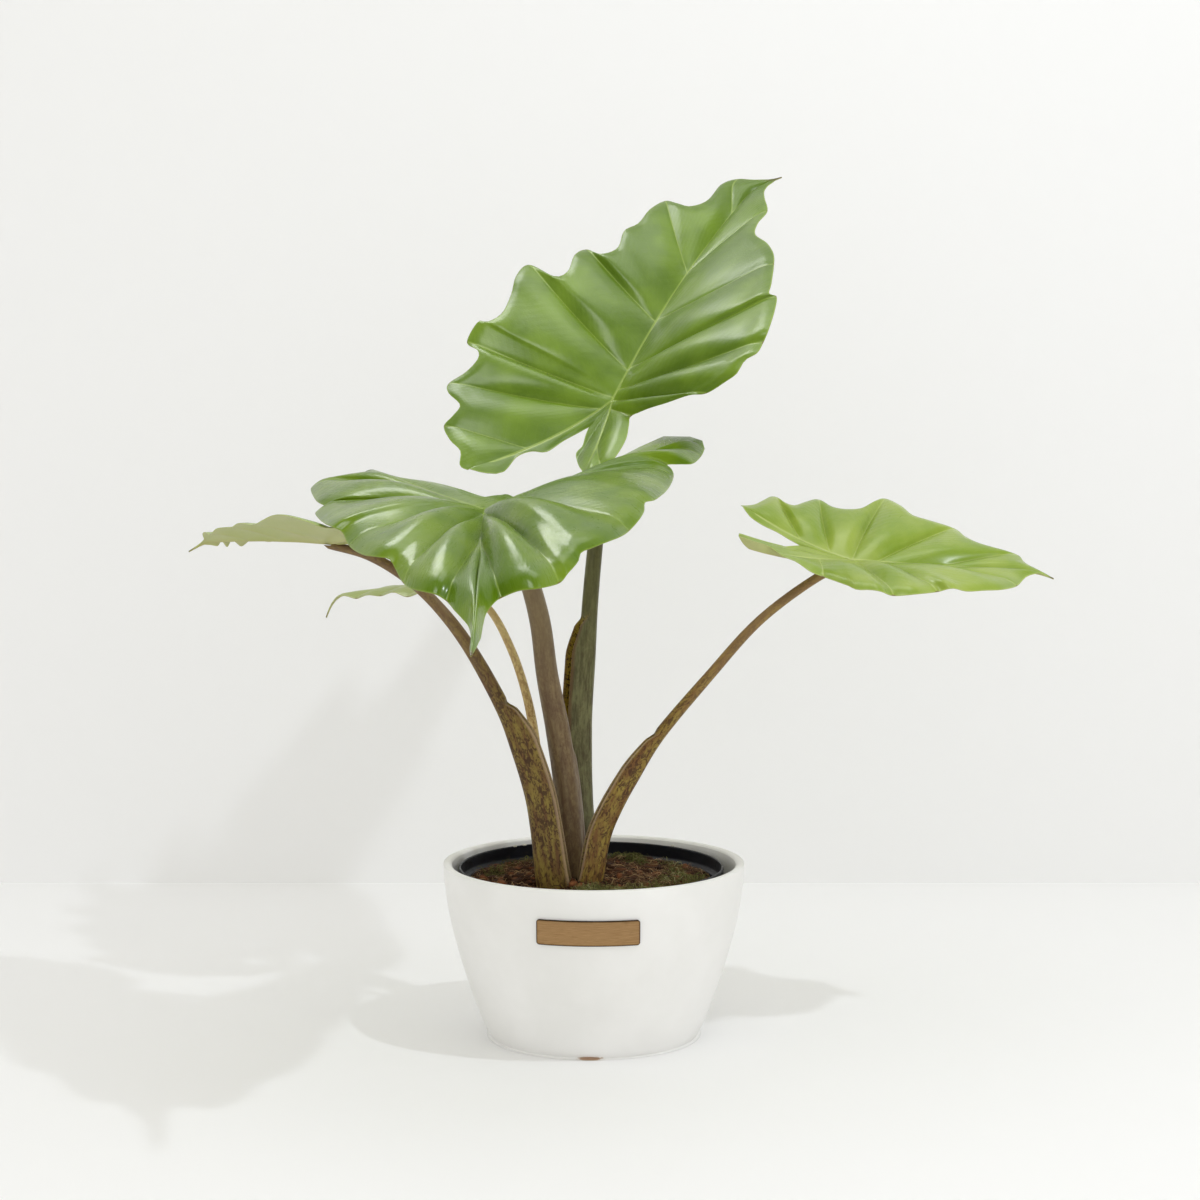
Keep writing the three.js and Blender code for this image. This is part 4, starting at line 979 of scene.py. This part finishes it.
def margin_stations(points, vein_roots):
    """Stations of margin points and of columns: 1 at the tip, 0 at the joint, -1 at the lobe's end."""
    run = np.concatenate([[0], np.cumsum(np.hypot(*np.diff(points[:, :2], axis=0).T))])
    last = len(points) - 1
    ends = [k for k in range(last + 1) if k in (0, last) or points[k, 2] < 0]
    roots = np.array([1, *vein_roots, -1], float)
    columns = [roots[:1]]
    for start, end, length in zip(roots, roots[1:], np.diff(run[ends])):
        steps = max(fewest_columns, round(length / column_spacing))
        columns.append(start + (end - start) * crowded_ends(steps)[1:])
    columns = np.union1d(np.round(np.concatenate(columns), 6), [0.0])[::-1]
    return np.interp(run, run[ends], roots), columns


def inner_stations(points, rib_end):
    """Stations of the points round a lobe to the notch, each at the nearest place of the lobe's rib."""
    stations = [1.0]
    for point in points[1:-1]:
        nearest = point[:2] @ rib_end / (rib_end @ rib_end)
        stations.append(min(nearest, stations[-1] - closest_inner))
    return np.array([*stations, 0.0])


def margin_line(points, stations, wanted):
    """Points of the margin at the wanted stations."""
    last = len(points) - 1
    k = np.clip(np.searchsorted(-stations, -wanted, side="right") - 1, 0, last - 1)
    share = np.clip((stations[k] - wanted) / (stations[k] - stations[k + 1]), 0, 1)[:, None]
    before = points[np.maximum(k - 1, 0)]
    after = points[np.minimum(k + 2, last)]
    return smooth(before, points[k], points[k + 1], after, share)


def distance_to(line, points):
    """Flat distance from each point to the nearest place of a line."""
    steps = np.diff(line, axis=0)
    away = points[..., None, :] - line[:-1]
    share = np.clip((away * steps).sum(-1) / np.maximum((steps ** 2).sum(-1), tiny), 0, 1)
    return np.linalg.norm(away - share[..., None] * steps, axis=-1).min(-1)


def half_blade(leaf, side, sign):
    """One half of a flat blade, in columns that leave the midrib, then the lobe's rib, out and back."""
    margin = np.array([(leaf["length"], 0, 0), *leaf[side]], float)
    vein_roots = leaf[side + "_veins"]
    stations, wanted = margin_stations(margin, vein_roots)
    notch_x, notch_y, notch_rise = leaf["notch"]
    inner = np.array([leaf[side][-1], *leaf[side + "_inner"], (notch_x, sign * notch_y, notch_rise)], float)
    rib_end = inner[0, :2] * lobe_rib_reach
    back = np.append(-wanted[wanted < 0][::-1][1:], 0)
    station = np.concatenate([wanted, back])
    outside = np.arange(len(station)) < len(wanted)
    edge = np.vstack([margin_line(margin, stations, wanted),
                      margin_line(inner, inner_stations(inner, rib_end), back)])
    on_midrib = (outside & (station >= 0))[:, None]
    root = np.where(on_midrib, station[:, None] * (leaf["length"], 0), np.abs(station)[:, None] * rib_end)
    bow = np.where(outside, side_bow * (1 + np.minimum(station, 0)), 0)[:, None]
    between_veins = np.interp(-station, -np.array([1, *vein_roots, -1]), np.arange(len(vein_roots) + 2))
    hump = np.where(outside, np.abs(np.sin(math.pi * between_veins)), np.sin(math.pi * station))[:, None]

    reach = np.hypot(*(edge[:, :2] - root).T)[:, None]
    r = crowded_ends(blade_rows)
    flat = root[:, None] + (edge[:, :2] - root)[:, None] * r[:, None]
    flat[:, :, 0] -= bow * reach * 4 * r * (1 - r)
    along, inward = reach * r, reach * (1 - r)
    vein_gap = np.full(along.shape, float(far_from_veins))
    for vein in vein_roots:
        line = flat[np.argmin(np.abs(wanted - vein))]
        vein_gap[outside] = np.minimum(vein_gap[outside], distance_to(line, flat[outside]))
    depth, width = leaf["roll_down"]
    rolled = 1 - inward / (np.minimum(width, roll_reach * reach) + tiny)
    rolled = np.clip(rolled, 0, 1) ** 2 * depth * np.minimum(1, reach / roll_full_width)
    rise = edge[:, 2:] * r * r + leaf["puff"] * reach * hump * np.sin(math.pi * np.minimum(r * puff_shift, 1))
    rise -= rolled * np.where(outside, 1, inner_roll)[:, None]
    groove = groove_depth * np.exp(-(vein_gap / groove_width) ** 2)
    rise -= groove * soft_step(along, 0, edge_taper) * soft_step(inward, 0, edge_taper)
    lean = np.where(outside[:, None], vein_gap, far_from_veins * station[:, None])
    values = [rise, along, vein_gap, inward, along - side_vein_lean * lean,
              np.repeat(station[:, None], len(r), 1), np.full(along.shape, sign)]
    return flat.reshape(-1, 2) * (1, sign), np.column_stack([value.ravel() for value in values]), len(station)


def add_leaf(name, leaf, material, slot):
    """One blade: both halves joined at their ribs and thickened to a face on each side."""
    flat, values, quads = [], [], []
    first = 0
    for side, sign in (("left", 1), ("right", -1)):
        places, kept_values, columns = half_blade(leaf, side, sign)
        flat.append(places)
        values.append(kept_values)
        quads += sheet_faces(columns - 1, blade_rows, first, turned_over=sign > 0)
        first += len(places)
    flat = np.vstack(flat)
    _, kept, merged = np.unique(np.round(flat, 3), axis=0, return_index=True, return_inverse=True)
    faces = [list(dict.fromkeys(quad)) for quad in merged.ravel()[np.array(quads)].tolist()]
    faces = [face for face in faces if len(face) > 2]
    flat = flat[kept]
    rise, rib_gap, vein_gap, edge_gap, side_vein, station, half = np.vstack(values)[kept].T
    middle = bend_leaf(leaf, flat[:, 0], flat[:, 1], rise)
    triangles = np.array([(face[0], face[i], face[i + 1]) for face in faces for i in range(1, len(face) - 1)])
    corner, ahead, aside = (middle[triangles[:, k]] for k in range(3))
    normals = np.zeros_like(middle)
    for k in range(3):
        np.add.at(normals, triangles[:, k], np.cross(ahead - corner, aside - corner))
    normals /= np.maximum(np.linalg.norm(normals, axis=1), tiny)[:, None]
    rib = rib_depth * (1 - rib_fade * np.abs(station)) * np.exp(-(rib_gap / rib_width) ** 2)
    skin = edge_skin + (blade_skin - edge_skin) * soft_step(edge_gap, 0, edge_taper)
    top = middle + normals * (skin / 2)[:, None]
    bottom = middle - normals * (skin / 2 + rib)[:, None]
    total = len(middle)
    edges = {}
    for face in faces:
        for a, b in zip(face, face[1:] + face[:1]):
            if (b, a) in edges:
                del edges[(b, a)]
            else:
                edges[(a, b)] = True
    faces += [[corner + total for corner in face[::-1]] for face in faces]
    faces += [[b, a, a + total, b + total] for a, b in edges]
    piece = add_piece(name, np.vstack([top, bottom]) * mm, faces, material, [slot])
    named = {"rib_gap": rib_gap, "vein_gap": vein_gap, "edge_gap": edge_gap, "side_vein": side_vein,
             "ahead": flat[:, 0] / leaf["length"]}
    for label, value in named.items():
        mark(piece, label, np.tile(value, 2))
    mark(piece, "under", np.repeat([0, 1], total))
    mark(piece, "flow", np.tile(np.column_stack([station, rib_gap, half]), (2, 1)), "FLOAT_VECTOR")
    return piece


def leaf_finish(name, deep, fresh, vein, under, gloss, coat, coat_gloss):
    """Glossy leaf: deep green clouded with fresh green, pale veins and margin, and a matt pale underside."""
    material, shader = new_finish(name, gloss, Specular_IOR_Level=0.12, Coat_Weight=coat,
                                  Coat_Roughness=coat_gloss)
    place = own_place(shader)
    flow = read(shader, "flow", place=True)
    below = read(shader, "under")
    cloud = grain(shader, place, 26, detail=3)
    streak = grain(shader, stretched(shader, flow, (60, 0.05, 3)), 2.2, detail=5, roughness=0.7)
    wander = times(shader, grain(shader, place, 70, detail=2), 5.0)
    side_place = plus(shader, read(shader, "side_vein"), wander)
    halfway = side_vein_spacing / 2
    side_gap = add_node(shader, "Math", {0: side_place, 1: halfway}, operation="PINGPONG").outputs[0]
    near_side = between(shader, side_gap, 0.35, 0.0)
    near_vein = between(shader, read(shader, "vein_gap"), 0.8, 0.2)
    near_rib = between(shader, read(shader, "rib_gap"), 1.7, 0.5)
    near_edge = between(shader, read(shader, "edge_gap"), 0.8, 0.2)
    green = mixed(shader, between(shader, cloud, 0.35, 0.68), deep, fresh)
    green = mixed(shader, between(shader, streak, 0.45, 0.8, 0.0, 0.35), green, fresh)
    green = mixed(shader, times(shader, near_side, 0.05), green, vein)
    top = mixed(shader, times(shader, near_vein, 0.5), green, vein)
    top = mixed(shader, times(shader, near_rib, 0.85), top, vein)
    top = mixed(shader, times(shader, near_edge, 0.6), top, vein)
    top = mixed(shader, between(shader, read(shader, "ahead"), 0.965, 0.995), top, drip_tip_brown)
    vein_end = times(shader, between(shader, read(shader, "vein_gap"), 1.6, 0.4), near_edge)
    top = mixed(shader, times(shader, vein_end, 0.8), top, vein_end_brown)
    pale = mixed(shader, between(shader, cloud, 0.3, 0.7), under, mixed(shader, 0.35, under, fresh))
    pale = mixed(shader, times(shader, near_vein, 0.5), pale, under_vein_yellow)
    pale = mixed(shader, times(shader, near_rib, 0.8), pale, under_vein_yellow)
    join(shader, "Base Color", mixed(shader, below, top, pale))
    sheen = between(shader, streak, 0.3, 0.75, gloss - 0.05, gloss + 0.09)
    join(shader, "Roughness", mixed(shader, below, sheen, (0.6, 0.6, 0.6, 1)))
    pillows = relief(shader, side_gap, 0.00002)
    pores = relief(shader, grain(shader, place, 620, detail=3, roughness=0.65), 0.00014, under=pillows)
    join(shader, "Normal", relief(shader, streak, 0.00014, strength=0.5, under=pores))
    return material


leaf_green = leaf_finish("leaf_green", (0.10, 0.18, 0.008, 1), (0.16, 0.262, 0.016, 1),
                         (0.32, 0.43, 0.08, 1), (0.44, 0.45, 0.19, 1), 0.34, 0.35, 0.27)
dark_leaf_green = leaf_finish("dark_leaf_green", (0.085, 0.163, 0.002, 1), (0.155, 0.245, 0.007, 1),
                              (0.25, 0.35, 0.05, 1), (0.40, 0.43, 0.17, 1), 0.3, 0.3, 0.17)
pale_leaf_green = leaf_finish("pale_leaf_green", (0.20, 0.30, 0.022, 1), (0.30, 0.39, 0.055, 1),
                              (0.42, 0.50, 0.14, 1), (0.44, 0.45, 0.19, 1), 0.32, 0.4, 0.24)
# The small blade's own pale green is painted lighter still: a painted sheen for the gloss it shows at a low
# angle.
sheen_lightened_leaf_green = leaf_finish("sheen_lightened_leaf_green", (0.32, 0.39, 0.08, 1), (0.42, 0.46, 0.16, 1),
                               (0.50, 0.52, 0.22, 1), (0.46, 0.46, 0.2, 1), 0.34, 0.3, 0.26)

add_leaf("tall_blade", tall_leaf, leaf_green, "tall_leaf")
add_leaf("front_blade", front_leaf, dark_leaf_green, "front_leaf")
add_leaf("left_blade", left_leaf, pale_leaf_green, "left_leaf")
add_leaf("small_blade", small_leaf, sheen_lightened_leaf_green, "small_leaf")
add_leaf("right_blade", right_leaf, pale_leaf_green, "right_leaf")


# Floor, wall, light and camera
# A plain pale studio with soft light from all round, and one small lamp high on the right for the shadows.
# Three panels out of view show only as sheen on the leaves. The wall is clear when seen from behind.

wall_distance = 0.433
room_size = 3.0
camera_place = Vector((0.003553, -1.47031, 0.384))
camera_pitch = 5.2
camera_lens = 78


def add_sheet(name, corners, material):
    """A flat square of the studio."""
    mesh = bpy.data.meshes.new(name)
    mesh.from_pydata(corners, [], [(0, 1, 2, 3)])
    mesh.materials.append(material)
    made = bpy.data.objects.new(name, mesh)
    bpy.context.scene.collection.objects.link(made)
    return made


def studio_finish(name, colour):
    material, shader = new_finish(name, 0.7)
    shader.inputs["Base Color"].default_value = colour
    return material


add_sheet("floor", [(-room_size, -room_size, 0), (room_size, -room_size, 0), (room_size, wall_distance, 0),
                    (-room_size, wall_distance, 0)], studio_finish("pale_floor", (0.86, 0.86, 0.855, 1)))
wall = add_sheet("wall", [(-room_size, wall_distance, 0), (room_size, wall_distance, 0),
                          (room_size, wall_distance, room_size), (-room_size, wall_distance, room_size)],
                 studio_finish("pale_wall", (0.84, 0.84, 0.838, 1)))
shader = wall.data.materials[0].node_tree.nodes["Principled BSDF"]
behind = add_node(shader, "NewGeometry", {}).outputs["Backfacing"]
clear = add_node(shader, "BsdfTransparent", {}).outputs[0]
seen = add_node(shader, "MixShader", {0: behind, 1: shader.outputs[0], 2: clear}).outputs[0]
shader.id_data.links.new(seen, shader.id_data.nodes["Material Output"].inputs["Surface"])


def add_lamp(name, place, aim, size, power, colour=(1, 1, 1)):
    """A square soft lamp that faces a point."""
    light = bpy.data.lights.new(name, "AREA")
    light.size = size
    light.energy = power
    light.color = colour
    lamp = bpy.data.objects.new(name, light)
    lamp.location = place
    lamp.rotation_euler = (Vector(aim) - Vector(place)).to_track_quat("-Z", "Y").to_euler()
    bpy.context.scene.collection.objects.link(lamp)
    return lamp


add_lamp("high_lamp", (0.61, -0.47, 1.31), (0, 0, 0.15), 0.04, 3.9, (0.88, 0.93, 1.0))
for panel in (add_lamp("left_panel", (-0.5, -0.75, 1.6), (0, 0.05, 0.38), 0.5, 8),
              add_lamp("top_panel", (0.1, 0.2, 1.5), (0, 0, 0.35), 0.6, 4),
              add_lamp("back_panel", (-0.25, 0.33, 1.0), (-0.05, -0.15, 0.3), 0.3, 2.6)):
    panel.visible_diffuse = False

world = bpy.data.worlds.new("studio")
world.use_nodes = True
world.node_tree.nodes["Background"].inputs["Color"].default_value = (1.0, 0.99, 0.955, 1)
world.node_tree.nodes["Background"].inputs["Strength"].default_value = 1.08
bpy.context.scene.world = world
world.cycles_visibility.glossy = False
bpy.context.scene.view_settings.view_transform = "Standard"

view = bpy.data.cameras.new("photo_view")
view.lens = camera_lens
view.clip_end = 20
camera = bpy.data.objects.new("photo_view", view)
camera.location = camera_place
camera.rotation_euler = (math.radians(90 - camera_pitch), 0, 0)
bpy.context.scene.collection.objects.link(camera)
bpy.context.scene.camera = camera
